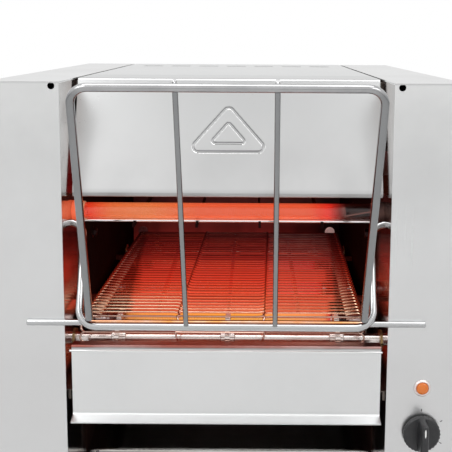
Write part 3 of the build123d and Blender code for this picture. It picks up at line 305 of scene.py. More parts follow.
def build_grain():
    """Brushed grain along Z: a roughness that varies from line to line, and a fine height."""
    group, way_in, way_out = new_group(
        "brushed_grain", {"Roughness": 0.3, "Spread": 0.1}, ["Roughness", "Height"])
    lines = stretched_noise(group, (1400, 1400, 9), 3.0, 0.6)
    smudge = stretched_noise(group, (9, 9, 6), 3.0, 0.55)
    both = maths(group, "ADD", maths(group, "SUBTRACT", lines, 0.5), maths(group, "SUBTRACT", smudge, 0.5))
    spread = maths(group, "MULTIPLY", both, way_in.outputs["Spread"])
    result = maths(group, "ADD", spread, way_in.outputs["Roughness"], clamp=True)
    join(group, (result, way_out.inputs["Roughness"]), (lines, way_out.inputs["Height"]))
    return group


def build_stain():
    """Uneven cloudy stain: mixes a second colour into the first."""
    inputs = {"Color": (1, 1, 1, 1), "Stain": (0, 0, 0, 1), "Amount": 0.3, "Size": 20.0}
    group, way_in, way_out = new_group("cloudy_stain", inputs, ["Color", "Mask"])
    noise = node(group, "ShaderNodeTexNoise", in_Detail=4.0, in_Roughness=0.6)
    ramp = node(group, "ShaderNodeMapRange", in_From_Min=0.38, in_From_Max=0.68)
    mix = node(group, "ShaderNodeMix", data_type="RGBA")
    join(group, (object_place(group), noise.inputs["Vector"]), (way_in.outputs["Size"], noise.inputs["Scale"]),
         (noise.outputs["Fac"], ramp.inputs["Value"]))
    mask = maths(group, "MULTIPLY", ramp.outputs["Result"], way_in.outputs["Amount"], clamp=True)
    join(group, (mask, mix.inputs["Factor"]), (way_in.outputs["Color"], mix.inputs["A"]),
         (way_in.outputs["Stain"], mix.inputs["B"]), (mix.outputs["Result"], way_out.inputs["Color"]),
         (mask, way_out.inputs["Mask"]))
    return group


def build_glow():
    """Reach of the coils' light: 1 inside a stretch along X that widens to the back, 0 outside it."""
    inputs = {"Left": -0.1, "Right": 0.1, "Fade": 0.01, "Slant": 0.0, "Front": 0.0}
    group, way_in, way_out = new_group("coil_glow", inputs, ["Mask"])
    axes = object_axes(group)
    behind = maths(group, "SUBTRACT", axes["Y"], way_in.outputs["Front"])
    wider = maths(group, "MULTIPLY", behind, way_in.outputs["Slant"])
    left = maths(group, "SUBTRACT", way_in.outputs["Left"], wider)
    right = maths(group, "ADD", way_in.outputs["Right"], wider)
    inside = []
    for distance in (maths(group, "SUBTRACT", axes["X"], left), maths(group, "SUBTRACT", right, axes["X"])):
        soft = maths(group, "DIVIDE", distance, way_in.outputs["Fade"])
        inside.append(maths(group, "ADD", soft, 0.5, clamp=True))
    join(group, (maths(group, "MULTIPLY", *inside), way_out.inputs["Mask"]))
    return group


def build_underside():
    """1 where a surface faces down, 0 where it faces up."""
    group, way_in, way_out = new_group("underside", {"Up": 0.6, "Down": -0.1}, ["Mask"])
    geometry = node(group, "ShaderNodeNewGeometry")
    parts = node(group, "ShaderNodeSeparateXYZ")
    span = node(group, "ShaderNodeMapRange")
    join(group, (geometry.outputs["Normal"], parts.inputs["Vector"]),
         (parts.outputs["Z"], span.inputs["Value"]), (way_in.outputs["Up"], span.inputs["From Min"]),
         (way_in.outputs["Down"], span.inputs["From Max"]), (span.outputs["Result"], way_out.inputs["Mask"]))
    return group


GRAIN = build_grain()
STAIN = build_stain()
GLOW = build_glow()
UNDERSIDE = build_underside()


# =====================================================================
# tools of the finishes
# =====================================================================
def finish(name, color, metallic, roughness, **constants):
    """A material with one Principled shader. Constants are set on the shader's own sockets."""
    made = bpy.data.materials.new(name)
    made.use_nodes = True
    shader = made.node_tree.nodes["Principled BSDF"]
    shader.inputs["Base Color"].default_value = (*color, 1)
    shader.inputs["Metallic"].default_value = metallic
    shader.inputs["Roughness"].default_value = roughness
    for key, value in constants.items():
        shader.inputs[key.replace("_", " ")].default_value = value
    return made, made.node_tree, shader


def add_group(tree, group, **values):
    made = node(tree, "ShaderNodeGroup", node_tree=group)
    for key, value in values.items():
        made.inputs[key].default_value = value
    return made


def add_bump(tree, shader, height, strength, distance):
    bump = node(tree, "ShaderNodeBump", in_Strength=strength, in_Distance=distance)
    join(tree, (height, bump.inputs["Height"]), (bump.outputs["Normal"], shader.inputs["Normal"]))


def share_along(tree, axis, start, end):
    """How far a point lies along an axis: 0 at start, 1 at end. Along Y both are depths."""
    front = FRONT_Y if axis == "Y" else 0.0
    span = node(tree, "ShaderNodeMapRange", in_From_Min=front + start, in_From_Max=front + end)
    join(tree, (object_axes(tree)[axis], span.inputs["Value"]))
    return span.outputs["Result"]


def color_stops(tree, axis, stops):
    """A colour that changes along an axis. stops are (place in metres, colour), in order."""
    start, first = stops[0]
    end, last = stops[-1]
    ramp = node(tree, "ShaderNodeValToRGB")
    elements = ramp.color_ramp.elements
    elements[0].color = (*first, 1)
    elements[1].color = (*last, 1)
    for place, color in stops[1:-1]:
        elements.new((place - start) / (end - start)).color = (*color, 1)
    join(tree, (share_along(tree, axis, start, end), ramp.inputs["Fac"]))
    return ramp.outputs["Color"]


def mix_colors(tree, factor, first, second, blend="MIX"):
    """Mixes two colours, each a socket or a plain colour."""
    made = node(tree, "ShaderNodeMix", data_type="RGBA", blend_type=blend)
    join(tree, (factor, made.inputs["Factor"]))
    for name, value in (("A", first), ("B", second)):
        if isinstance(value, tuple):
            made.inputs[name].default_value = (*value, 1)
        else:
            join(tree, (value, made.inputs[name]))
    return made.outputs["Result"]


def paint_tube_light(tree, shader, color, level=None):
    """Painted light: a glow on a surface where the hot tubes would light it, by a level from 0 up where there is one.
    """
    if level is not None:
        color = mix_colors(tree, level, BLACK, color)
    join(tree, (color, shader.inputs["Emission Color"]))
    shader.inputs["Emission Strength"].default_value = 1.0


def cloudy(name, color, stain, metallic, roughness, amount, size, axis="Z", stops=(), bump=0.0,
           height=UNEVEN_HEIGHT, **constants):
    """A finish of one colour, or of colours that change along an axis, under a cloudy stain.

    amount is how much of the stain shows, and size is how fine it is. With a bump it stands up a little.
    """
    made, tree, shader = finish(name, color, metallic, roughness, **constants)
    cloud = add_group(tree, STAIN, Color=(*color, 1), Stain=(*stain, 1), Amount=amount, Size=size)
    if stops:
        join(tree, (color_stops(tree, axis, stops), cloud.inputs["Color"]))
    join(tree, (cloud.outputs["Color"], shader.inputs["Base Color"]))
    if bump:
        add_bump(tree, shader, cloud.outputs["Mask"], bump, height)
    return made, tree, shader


def brushed(name, color, stain, roughness, spread, bump=0.1, **more):
    """A cloudy metal with brushed grain. spread is how far its roughness varies."""
    made, tree, shader = cloudy(name, color, stain, metallic=1.0, roughness=roughness, **more)
    grain = add_group(tree, GRAIN, Roughness=roughness, Spread=spread)
    join(tree, (grain.outputs["Roughness"], shader.inputs["Roughness"]))
    add_bump(tree, shader, grain.outputs["Height"], bump, GRAIN_HEIGHT)
    return made, tree, shader


def plain(name, color, metallic, roughness, stain, amount, size, bump=0.1, **constants):
    """A cloudy finish with a slight unevenness."""
    return cloudy(name, color, stain, metallic, roughness, amount, size, bump=bump, **constants)[0]


def shade(color, share):
    """A colour darkened to a share of itself."""
    return tuple(share * part for part in color)


# =====================================================================
# finishes
# =====================================================================
def satin_stainless(name, color, stops=(), stain=None):
    """Brushed stainless sheet of one colour, or of colours that change with the height."""
    return brushed(name, color, stain or shade(color, 0.93), roughness=0.3, spread=0.1, amount=0.5, size=14.0,
                   stops=stops)[0]


def inner_steel(name="inner_steel", color=(0.2, 0.17, 0.15)):
    return brushed(name, color, shade(color, 0.5), roughness=0.35, spread=0.15, amount=0.7, size=40.0)[0]


def rack_wire(name, color, axis="X", stops=()):
    """Drawn wire of one colour, or of colours that change along an axis."""
    return brushed(name, color, shade(color, 0.88), roughness=0.14, spread=0.05, bump=0.05, amount=0.5, size=30.0,
                   axis=axis, stops=stops)[0]


def wall_liner():
    """Polished wall of the chamber, bright at the mouth and darkened to near black further in as painted shade."""
    stops = [(0.0, (0.74, 0.73, 0.72)), (0.043, (0.55, 0.48, 0.45)), (0.056, (0.06, 0.03, 0.025)),
             (0.075, (0.02, 0.01, 0.009)), (0.39, (0.015, 0.008, 0.008))]
    made, tree, shader = brushed("wall_liner", (0.5, 0.45, 0.42), (0.03, 0.015, 0.012), roughness=0.12, spread=0.08,
                                 bump=0.05, amount=0.4, size=30.0, axis="Y", stops=stops, Specular_IOR_Level=0.0)
    # Painted shade: further in, the wall also loses its metal and its reflection.
    join(tree, (share_along(tree, "Y", 0.07, 0.048), shader.inputs["Metallic"]))
    return made


def paint_rear_light(tree, shader):
    """Painted dull red light of the heaters, low at the back of the chamber, in soft upright streaks."""
    color = color_stops(tree, "Z", [
        (0.125, BLACK), (0.15, (0.22, 0.014, 0.009)), (0.172, (0.16, 0.012, 0.009)),
        (0.186, (0.075, 0.007, 0.006)), (0.21, (0.03, 0.004, 0.004)), (0.24, BLACK)])
    glow = add_group(tree, GLOW, Left=-0.118, Right=0.07, Fade=0.08)
    streaks = maths(tree, "MULTIPLY", stretched_noise(tree, (45, 45, 4), 2.0), 1.8)
    paint_tube_light(tree, shader, color, maths(tree, "MULTIPLY", streaks, glow.outputs["Mask"]))


def heat_tint_and_painted_light():
    made, tree, shader = brushed("heat_tint_and_painted_light", (0.1, 0.045, 0.04), (0.05, 0.03, 0.03), roughness=0.35, spread=0.12,
                                 amount=0.7, size=25.0)
    # painted red light of the heaters low on the deflector
    paint_rear_light(tree, shader)
    return made


def slide_steel():
    made, tree, shader = brushed("slide_steel", (0.6, 0.59, 0.58), (0.4, 0.36, 0.33), roughness=0.16, spread=0.1,
                                 bump=0.05, amount=0.6, size=18.0)
    # painted red light of the heaters low on the slide
    paint_rear_light(tree, shader)
    return made


def upper_reflector():
    """Sooted tray over the upper tubes, with a dull glow of their light painted on it."""
    made, tree, shader = brushed("painted_light_sooted_reflector", (0.09, 0.02, 0.018), (0.04, 0.012, 0.012), roughness=0.3,
                                 spread=0.12, amount=0.7, size=25.0)
    paint_tube_light(tree, shader, color_stops(tree, "X", [
        (-0.12, (0.1, 0.004, 0.004)), (0.04, (0.08, 0.004, 0.004)), (0.12, (0.02, 0.004, 0.002))]))
    return made


def bright_reflector():
    """Tray under the lower tubes, with their light painted on it as a glow."""
    made, tree, shader = brushed("bright_reflector", (0.12, 0.05, 0.04), (0.07, 0.03, 0.025), roughness=0.25,
                                 spread=0.1, bump=0.05, amount=0.7, size=25.0)
    lit = color_stops(tree, "Y", [
        (0.06, (0.4, 0.028, 0.014)), (0.09, (0.13, 0.012, 0.01)), (0.12, (0.72, 0.14, 0.05)),
        (0.17, (0.66, 0.075, 0.038)), (0.23, (0.56, 0.045, 0.026)), (0.28, (0.45, 0.035, 0.02))])
    glow = add_group(tree, GLOW, Left=-0.0966, Right=0.0946, Fade=0.004, Slant=0.0605, Front=FRONT_Y + 0.132)
    paint_tube_light(tree, shader, lit, glow.outputs["Mask"])
    return made


def deflector_screw():
    """Painted light and shade along X: the left screw is painted dark, the right one lighter with a painted highlight
    glow.
    """
    stops = [(-0.05, (0.12, 0.06, 0.06)), (0.05, (0.98, 0.84, 0.84))]
    made, tree, shader = cloudy("deflector_screw", (0.9, 0.75, 0.74), (0.5, 0.3, 0.3), metallic=0.3,
                                roughness=0.35, amount=0.3, size=200.0, axis="X", stops=stops)
    paint_tube_light(tree, shader, color_stops(tree, "X", [(-0.05, (0.02, 0.005, 0.005)), (0.05, (0.22, 0.14, 0.13))]))
    return made


def paint_belt_light(tree, shader, up, edge):
    """Painted red light that the lower tubes would throw on wires and rails from below. edge is the least of it at the
    sides.
    """
    color = color_stops(tree, "Y", [
        (0.0, (0.06, 0.006, 0.004)), (0.024, (0.12, 0.014, 0.008)), (0.04, (0.42, 0.08, 0.03)),
        (0.06, (0.5, 0.07, 0.03)), (0.098, (0.54, 0.045, 0.02)), (0.127, (0.54, 0.03, 0.014)),
        (0.17, (0.38, 0.02, 0.011)), (0.211, (0.2, 0.011, 0.008)), (0.25, (0.1, 0.006, 0.005)),
        (0.3, (0.03, 0.003, 0.003))])
    glow = add_group(tree, GLOW, Left=-0.085, Right=0.091, Fade=0.006, Slant=0.07, Front=FRONT_Y + 0.03)
    under = add_group(tree, UNDERSIDE, Up=up, Down=-0.1)
    across = maths(tree, "MAXIMUM", glow.outputs["Mask"], edge)
    paint_tube_light(tree, shader, color, maths(tree, "MULTIPLY", under.outputs["Mask"], across))


def belt_wire():
    """Wire in painted light and shade: dark on the front turn, a painted highlight on the first strands, darkening to
    the back.
    """
    stops = [
        (0.0, (0.42, 0.3, 0.26)), (0.03, (0.48, 0.36, 0.3)), (0.04, (0.84, 0.66, 0.48)), (0.06, (0.74, 0.54, 0.36)),
        (0.12, (0.36, 0.19, 0.12)), (0.2, (0.14, 0.07, 0.06)), (0.3, (0.06, 0.035, 0.035))]
    made, tree, shader = cloudy("belt_wire", (0.86, 0.74, 0.62), (0.4, 0.25, 0.18), metallic=1.0,
                                roughness=0.2, amount=0.3, size=60.0, axis="Y", stops=stops)
    paint_belt_light(tree, shader, BELT_UP, EDGE_LIGHT)
    return made


def rail_steel():
    made, tree, shader = cloudy("rail_steel", (0.1, 0.05, 0.04), (0.06, 0.03, 0.02), metallic=1.0,
                                roughness=0.4, amount=0.7, size=60.0)
    # painted red light of the lower tubes on the rails
    paint_belt_light(tree, shader, RAIL_UP, RAIL_EDGE_LIGHT)
    return made


def upper_light(tree, lead=BLACK):
    """Colour of the lit stretch of the upper tubes, along X, and of a painted highlight on the bare lead at their
    right end.
    """
    return color_stops(tree, "X", [
        (-0.12, (0.2, 0.008, 0.003)), (-0.114, (0.82, 0.04, 0.012)), (-0.095, (0.8, 0.19, 0.055)),
        (-0.066, (0.79, 0.22, 0.065)), (-0.024, (0.8, 0.125, 0.045)), (0.065, (0.81, 0.11, 0.04)),
        (0.082, (0.8, 0.022, 0.01)), (0.092, (0.2, 0.012, 0.01)), (0.097, lead)])


# The bare lead gets a painted highlight: a pale glow past the coil's lit stretch.
def lead_with_painted_highlight(tree):
    return upper_light(tree, (0.75, 0.55, 0.5))


def lower_light(tree):
    """Colour of the lit stretch of the lower tubes, along X, redder to the back."""
    near = color_stops(tree, "X", [
        (-0.093, BLACK), (-0.089, (0.62, 0.24, 0.05)), (-0.078, (0.75, 0.33, 0.07)),
        (0.0, (0.81, 0.4, 0.05)), (0.06, (0.8, 0.35, 0.1)), (0.084, (0.78, 0.26, 0.09)),
        (0.089, (0.6, 0.03, 0.02)), (0.092, BLACK)])
    return mix_colors(tree, share_along(tree, "Y", 0.09, 0.165), near, (0.72, 0.14, 0.45), "MULTIPLY")


def light_strength(tree, shader, level, thrown, mirrored):
    """Strength of a light: level as seen, more on what it lights, and less in mirror images."""
    path = node(tree, "ShaderNodeLightPath")
    more = maths(tree, "MULTIPLY", path.outputs["Is Diffuse Ray"], level * (thrown - 1))
    less = maths(tree, "MULTIPLY", path.outputs["Is Glossy Ray"], level * (mirrored - 1))
    total = maths(tree, "ADD", more, less)
    join(tree, (maths(tree, "ADD", total, level), shader.inputs["Emission Strength"]))


def quartz(name, light, level, mirrored):
    """Clear quartz that the coil inside fills with light over its lit stretch."""
    made, tree, shader = finish(name, (0.96, 0.93, 0.9), 0.0, 0.25, Transmission_Weight=1.0, IOR=1.46,
                                Specular_IOR_Level=0.05)
    clear = color_stops(tree, "X", [(0.084, (0.93, 0.75, 0.66)), (0.095, (0.5, 0.3, 0.27))])
    join(tree, (clear, shader.inputs["Base Color"]), (light(tree), shader.inputs["Emission Color"]))
    light_strength(tree, shader, level, 1.0, mirrored)
    return made


def hot_coil(name, light, level, mirrored):
    """Heating wire, and the light that it throws on what is around it."""
    made, tree, shader = finish(name, (0.12, 0.05, 0.03), 1.0, 0.5)
    join(tree, (light(tree), shader.inputs["Emission Color"]))
    light_strength(tree, shader, level, COIL_THROW, mirrored)
    return made


def ceramic():
    """Fired clay, painted along X: red light from the tube on the left sleeves, and painted shade that darkens the
    right ones.
    """
    stops = [
        (-0.128, (0.5, 0.12, 0.05)), (-0.1192, (0.55, 0.15, 0.07)), (-0.1184, (0.8, 0.62, 0.42)),
        (0.0, (0.6, 0.45, 0.33)), (0.117, (0.3, 0.17, 0.12)), (0.1195, (0.06, 0.025, 0.02)),
        (0.128, (0.05, 0.02, 0.02))]
    made, tree, shader = cloudy("ceramic", (0.78, 0.66, 0.5), (0.3, 0.15, 0.1), metallic=0.0, roughness=0.7,
                                amount=0.3, size=90.0, axis="X", stops=stops, bump=0.3, height=CLAY_HEIGHT)
    paint_tube_light(tree, shader, color_stops(tree, "X", [
        (-0.128, (0.6, 0.075, 0.028)), (-0.1192, (0.6, 0.085, 0.03)), (-0.1184, (0.2, 0.08, 0.04)), (-0.1, BLACK)]))
    return made


FINISHES = {
    "satin_stainless": satin_stainless("satin_stainless", STAINLESS),
    "bright_reflector": bright_reflector(),
    "inner_steel": inner_steel(),
    # The frame's top bar has a painted highlight: its wire is painted lighter above z 0.383.
    "rack_wire": rack_wire("rack_wire", WIRE_GREY, "Z", [(0.383, WIRE_GREY), (0.387, (0.5, 0.5, 0.505))]),
    "belt_wire": belt_wire(),
    "shaft_steel": brushed("shaft_steel", (0.84, 0.77, 0.74), (0.6, 0.5, 0.45), roughness=0.18, spread=0.08,
                           amount=0.5, size=50.0)[0],
    "bush_bronze": cloudy("bush_bronze", (0.5, 0.34, 0.16), (0.2, 0.12, 0.06), metallic=1.0, roughness=0.35,
                          amount=0.6, size=90.0)[0],
    "quartz": quartz("upper_quartz", upper_light, 0.2, 1.0),
    "glowing_coil": hot_coil("upper_coil_wire", lead_with_painted_highlight, 0.5, 1.0),
    "ceramic": ceramic(),
}
PLAIN_FINISHES = [
    ("cap_steel", (0.62, 0.55, 0.54), 1.0, 0.3, (0.35, 0.27, 0.25), 0.5, 80.0),
    ("foot_rubber", (0.02, 0.02, 0.021), 0.0, 0.7, (0.05, 0.05, 0.05), 0.5, 120.0),
    ("knob_plastic", (0.018, 0.018, 0.02), 0.0, 0.38, (0.03, 0.03, 0.032), 0.5, 200.0),
    ("black_plastic", (0.025, 0.025, 0.027), 0.0, 0.5, (0.045, 0.045, 0.045), 0.5, 150.0),
    ("lamp_lens", (0.75, 0.2, 0.03), 0.0, 0.12, (0.6, 0.12, 0.02), 0.5, 90.0, 0.02),
    ("board", (0.03, 0.14, 0.06), 0.0, 0.45, (0.02, 0.09, 0.04), 0.5, 150.0),
    ("terminal_plastic", (0.62, 0.6, 0.54), 0.0, 0.45, (0.5, 0.47, 0.4), 0.4, 90.0),
    ("motor_housing", (0.4, 0.41, 0.42), 1.0, 0.4, (0.28, 0.28, 0.27), 0.5, 60.0),
    ("screw_steel", (0.82, 0.75, 0.74), 0.7, 0.3, (0.66, 0.58, 0.56), 0.5, 200.0),
]
for values in PLAIN_FINISHES:
    FINISHES[values[0]] = plain(*values)
LOWER_QUARTZ = quartz("lower_quartz", lower_light, 0.62, LOWER_MIRRORED)
LOWER_COIL = hot_coil("lower_coil_wire", lower_light, 0.9, LOWER_MIRRORED)
# The hanger is the same wire as the frame, painted lighter as if lit.
PAINTED_LIT_WIRE = rack_wire("painted_lit_hanger_wire", WIRE_PAINTED_LIT)
# The inner wires' free ends have a painted highlight: painted near white above z 0.386.
INNER_WIRE_STEEL = rack_wire("inner_wire", WIRE_GREY, "Z", [(0.386, WIRE_GREY), (0.39, (0.85, 0.85, 0.85))])
# The stop rod's ends are painted in the lit grey of the hanger; its middle is brown.
STOP_WIRE_STEEL = rack_wire("stop_wire", WIRE_PAINTED_LIT, "X", [
    (-0.11, WIRE_PAINTED_LIT), (-0.104, WIRE_MIDDLE_BROWN), (0.104, WIRE_MIDDLE_BROWN), (0.11, WIRE_PAINTED_LIT)])
GUARD_STEEL = plain("guard_steel", (0.97, 0.94, 0.94), 1.0, 0.1, (0.9, 0.84, 0.84), 0.5, 60.0, 0.02)
# Painted shade: a dark line on the side covers' bevelled edges and on the shaded walls of the hood's groove.
PAINTED_EDGE_SHADE = plain("painted_shade_edge", (0.34, 0.34, 0.345), 1.0, 0.45, (0.25, 0.25, 0.25), 0.5, 60.0, 0.05)
# Painted highlight on the walls of the hood's groove that face the light.
PAINTED_HIGHLIGHT_WALL = plain("painted_highlight_groove_wall", (0.97, 0.97, 0.97), 1.0, 0.25, (0.9, 0.9, 0.9), 0.5, 60.0, 0.02)
# Painted light and shade: the hood is painted darker than the sides, darkest on its return, lightest just above it,
# darker to the top.
HOOD_STEEL = satin_stainless("hood_stainless", (0.575, 0.58, 0.58), [
    (0.29, (0.46, 0.46, 0.46)), (0.2965, (0.5, 0.5, 0.5)), (0.3, (0.645, 0.645, 0.645)),
    (0.387, (0.52, 0.525, 0.525))])
# Painted light and shade: the side covers are painted lighter towards the top and darker on their top face.
SIDE_STEEL = satin_stainless("side_stainless", STAINLESS, [
    (0.16, (0.7, 0.7, 0.7)), (0.27, (0.81, 0.815, 0.815)), (0.385, (0.86, 0.865, 0.86)), (0.3868, (0.62, 0.62, 0.62))])
# Painted light and shade: the upper fold of the crumb tray's front is painted red as if lit by the heaters, above a
# dark line of painted shade.
TRAY_STEEL = satin_stainless("tray_stainless", STAINLESS, [
    (0.1758, STAINLESS), (0.1762, (0.34, 0.33, 0.33)), (0.177, (0.34, 0.33, 0.33)), (0.1773, (0.38, 0.13, 0.105))],
    (0.72, 0.73, 0.73))
MARK_WHITE = plain("mark_white", (0.8, 0.8, 0.78), 0.0, 0.5, (0.7, 0.7, 0.68), 0.4, 200.0)
MARK_GREY = plain("mark_grey", (0.05, 0.05, 0.055), 0.0, 0.5, (0.09, 0.09, 0.09), 0.4, 200.0)
NODE_FINISHES = {
    # The top cover is the sides' stainless painted darker, as painted shade.
    "top_cover": satin_stainless("top_stainless", (0.6, 0.605, 0.605)),
    "crumb_tray": TRAY_STEEL,
    "rear_deflector": heat_tint_and_painted_light(),
    "toast_slide": slide_steel(),
    "upper_reflector": upper_reflector(),
    "guard_strips": plain("soot", (0.012, 0.003, 0.003), 0.0, 0.9, (0.006, 0.002, 0.002), 0.5, 80.0,
                          Specular_IOR_Level=0.05),
    "heat_shield": inner_steel("shield_steel", (0.3, 0.28, 0.27)),
    # Screw heads in the chamber walls, painted near black like the painted shade of the walls.
    "wall_screws": plain("painted_shade_screw", (0.035, 0.02, 0.02), 1.0, 0.45, (0.02, 0.012, 0.012), 0.5, 200.0),
    "deflector_screws": deflector_screw(),
}
NODE_FINISHES.update(dict.fromkeys(["left_side_cover", "right_side_cover"], SIDE_STEEL))
NODE_FINISHES.update(dict.fromkeys(["left_chamber_wall", "right_chamber_wall"], wall_liner()))
NODE_FINISHES.update(dict.fromkeys(["belt_rails", "cross_bars"], rail_steel()))


# =====================================================================
# mesh helpers
# =====================================================================
def piece(name, mesh, body, slot, replaced=(), material=None):
    """Turns a bmesh into a shown piece that rides on a body and stands for CAD nodes."""
    data = bpy.data.meshes.new(name)
    bmesh.ops.recalc_face_normals(mesh, faces=mesh.faces)
    mesh.to_mesh(data)
    mesh.free()
    data.materials.append(material or FINISHES[slot])
    for polygon in data.polygons:
        polygon.use_smooth = True
    made = bpy.data.objects.new(name, data)
    bpy.context.scene.collection.objects.link(made)
    data.set_sharp_from_angle(angle=math.radians(SMOOTH_ANGLE))
    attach(made, body)
    if replaced:
        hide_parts(*replaced)
    return made


def rounded_path(points, radii, steps=6):
    """The points with each inner corner rounded."""
    points = [Vector(p) for p in points]
    if isinstance(radii, (int, float)):
        radii = [radii] * (len(points) - 2)
    path = [points[0]]
    for before, corner, after, radius in zip(points, points[1:], points[2:], radii):
        to_before = (before - corner).normalized()
        to_after = (after - corner).normalized()
        half = to_before.angle(to_after) / 2
        if radius == 0:
            path.append(corner)
            continue
        back = radius / math.tan(half)
        centre = corner + (to_before + to_after).normalized() * (radius / math.sin(half))
        start = corner + to_before * back - centre
        end = corner + to_after * back - centre
        turn = start.angle(end)
        for step in range(steps + 1):
            share = step / steps
            arm = (math.sin((1 - share) * turn) * start + math.sin(share * turn) * end) / math.sin(turn)
            path.append(centre + arm)
    path.append(points[-1])
    return path


def skin(mesh, low, high):
    """Faces between two rings, either of which may be a single point."""
    count = max(len(low), len(high))
    for step in range(count):
        after = (step + 1) % count
        if len(low) == 1:
            mesh.faces.new((low[0], high[step], high[after]))
        elif len(high) == 1:
            mesh.faces.new((low[step], low[after], high[0]))
        else:
            mesh.faces.new((low[step], low[after], high[after], high[step]))


def sweep(mesh, path, radius, sides):
    """A round bar along a path, closed at both ends. Its rings of vertices are returned."""
    last = len(path) - 1
    tangents = []
    for index in range(len(path)):
        tangents.append((path[min(index + 1, last)] - path[max(index - 1, 0)]).normalized())
    normal = tangents[0].orthogonal().normalized()
    rings = []
    for point, tangent in zip(path, tangents):
        normal = (normal - tangent * normal.dot(tangent)).normalized()
        side = tangent.cross(normal)
        ring = []
        for step in range(sides):
            angle = 2 * math.pi * step / sides
            ring.append(mesh.verts.new(point + (normal * math.cos(angle) + side * math.sin(angle)) * radius))
        rings.append(ring)
    for low, high in zip(rings, rings[1:]):
        skin(mesh, low, high)
    mesh.faces.new(rings[0])
    mesh.faces.new(rings[-1])
    return rings


def lathe(mesh, profile, place, sides=TURNED_SIDES):
    """A turned shape: profile points are (radius, height) along the place's Z axis, plain or by angle."""
    rings = []
    for radius, height in profile:
        if radius == 0:
            rings.append([mesh.verts.new(place @ Vector((0, 0, height)))])
            continue
        ring = []
        for step in range(sides):
            angle = 2 * math.pi * step / sides
            reach = radius(angle) if callable(radius) else radius
            ring.append(mesh.verts.new(place @ Vector((reach * math.cos(angle), reach * math.sin(angle), height))))
        rings.append(ring)
    for low, high in zip(rings, rings[1:]):
        skin(mesh, low, high)


def both_ways(profile, length=0.0):
    """A profile and its mirror image: of a bar of this length from one end, or with none about its middle."""
    return profile + [(radius, length - height) for radius, height in reversed(profile)]


def turned_piece(name, profile, places, body, slot, replaced=(), material=None, sides=TURNED_SIDES):
    """A piece of one turned profile, in millimetres, at each place."""
    mesh = bmesh.new()
    for place in places:
        lathe(mesh, profile, place @ Matrix.Scale(MM, 4), sides)
    bmesh.ops.remove_doubles(mesh, verts=mesh.verts, dist=1e-7)
    return piece(name, mesh, body, slot, replaced, material)


def hexagon(flats):
    """Radius of a hexagon by angle."""
    def radius(angle):
        turn = (angle + math.pi / 6) % (math.pi / 3) - math.pi / 6
        return flats / 2 / math.cos(turn)
    return radius


def squarish(half_x, half_y, power=4.0):
    """Radius by angle of a bar's section with rounded corners."""
    def radius(angle):
        across = abs(math.cos(angle) / half_x) ** power
        upright = abs(math.sin(angle) / half_y) ** power
        return (across + upright) ** (-1 / power)
    return radius


def fluted(radius, depth, count):
    """Radius by angle of a round edge with shallow flutes."""
    return lambda angle: radius - depth * (0.5 - 0.5 * math.cos(count * angle))


def placed(axis_x, axis_y, axis_z, origin):
    """A place from its three axes."""
    return Matrix.Translation(origin) @ Matrix((axis_x, axis_y, axis_z)).transposed().to_4x4()


def facing(direction, origin):
    """A place whose Z axis points along the direction, at the origin."""
    turn = Vector(direction).to_track_quat("Z", "Y").to_matrix().to_4x4()
    return Matrix.Translation(origin) @ turn


def to_front(origin):
    return placed((1, 0, 0), (0, 0, 1), (0, -1, 0), origin)


def to_back(origin):
    return placed((-1, 0, 0), (0, 0, 1), (0, 1, 0), origin)


def to_right(origin):
    return placed((0, 1, 0), (0, 0, 1), (1, 0, 0), origin)


def to_left(origin):
    return placed((0, -1, 0), (0, 0, 1), (-1, 0, 0), origin)


def solids_of(name):
    """The lowest and highest corner of each separate solid of a CAD node."""
    data = frame["nodes"][name].data
    keys = [tuple(round(c, 5) for c in vert.co) for vert in data.vertices]
    leader = {key: key for key in keys}

    def find(key):
        while leader[key] != key:
            leader[key] = leader[leader[key]]
            key = leader[key]
        return key

    for polygon in data.polygons:
        first = find(keys[polygon.vertices[0]])
        for index in polygon.vertices[1:]:
            leader[find(keys[index])] = first
    corners = {}
    for key in keys:
        corners.setdefault(find(key), []).append(key)
    boxes = []
    for points in corners.values():
        boxes.append((Vector(map(min, zip(*points))), Vector(map(max, zip(*points)))))
    return sorted(boxes, key=lambda pair: tuple(pair[0]))


# =====================================================================
# belt
# =====================================================================
def loop_place(along, rise):
    """Depth and height on the belt's loop, along it from above the front shaft, raised outwards."""
    along %= LOOP_LENGTH
    half_turn = math.pi * LOOP_RADIUS
    reach = LOOP_RADIUS + rise
    if along < SHAFT_SPAN:
        return SHAFT_DEPTH + along, SHAFT_Z + reach
    along -= SHAFT_SPAN
    if along < half_turn:
        turn = along / LOOP_RADIUS
        return SHAFT_DEPTH + SHAFT_SPAN + reach * math.sin(turn), SHAFT_Z + reach * math.cos(turn)
    along -= half_turn
    if along < SHAFT_SPAN:
        return SHAFT_DEPTH + SHAFT_SPAN - along, SHAFT_Z - reach
    turn = (along - SHAFT_SPAN) / LOOP_RADIUS
    return SHAFT_DEPTH - reach * math.sin(turn), SHAFT_Z - reach * math.cos(turn)


def edge_loop(side):
    """End of a strand, from its outer bar round to the hook on the joint, as (across, along, rise)."""
    half = STRAND_PITCH / 2
    centre = EDGE_X - half
    points = [(side * (EDGE_JOINT_X - JOINT_REACH), 0, 0)]
    for step in range(LOOP_STEPS + 1):
        angle = math.pi * step / LOOP_STEPS - math.pi / 2
        points.append((side * (centre + half * math.cos(angle)), half + half * math.sin(angle), 0))
    points.append((side * (EDGE_JOINT_X + HOOK_OVER), STRAND_PITCH, -JOINT_RISE))
    points.append((side * (EDGE_JOINT_X - HOOK_BACK), STRAND_PITCH, -2 * JOINT_RISE))
    return points


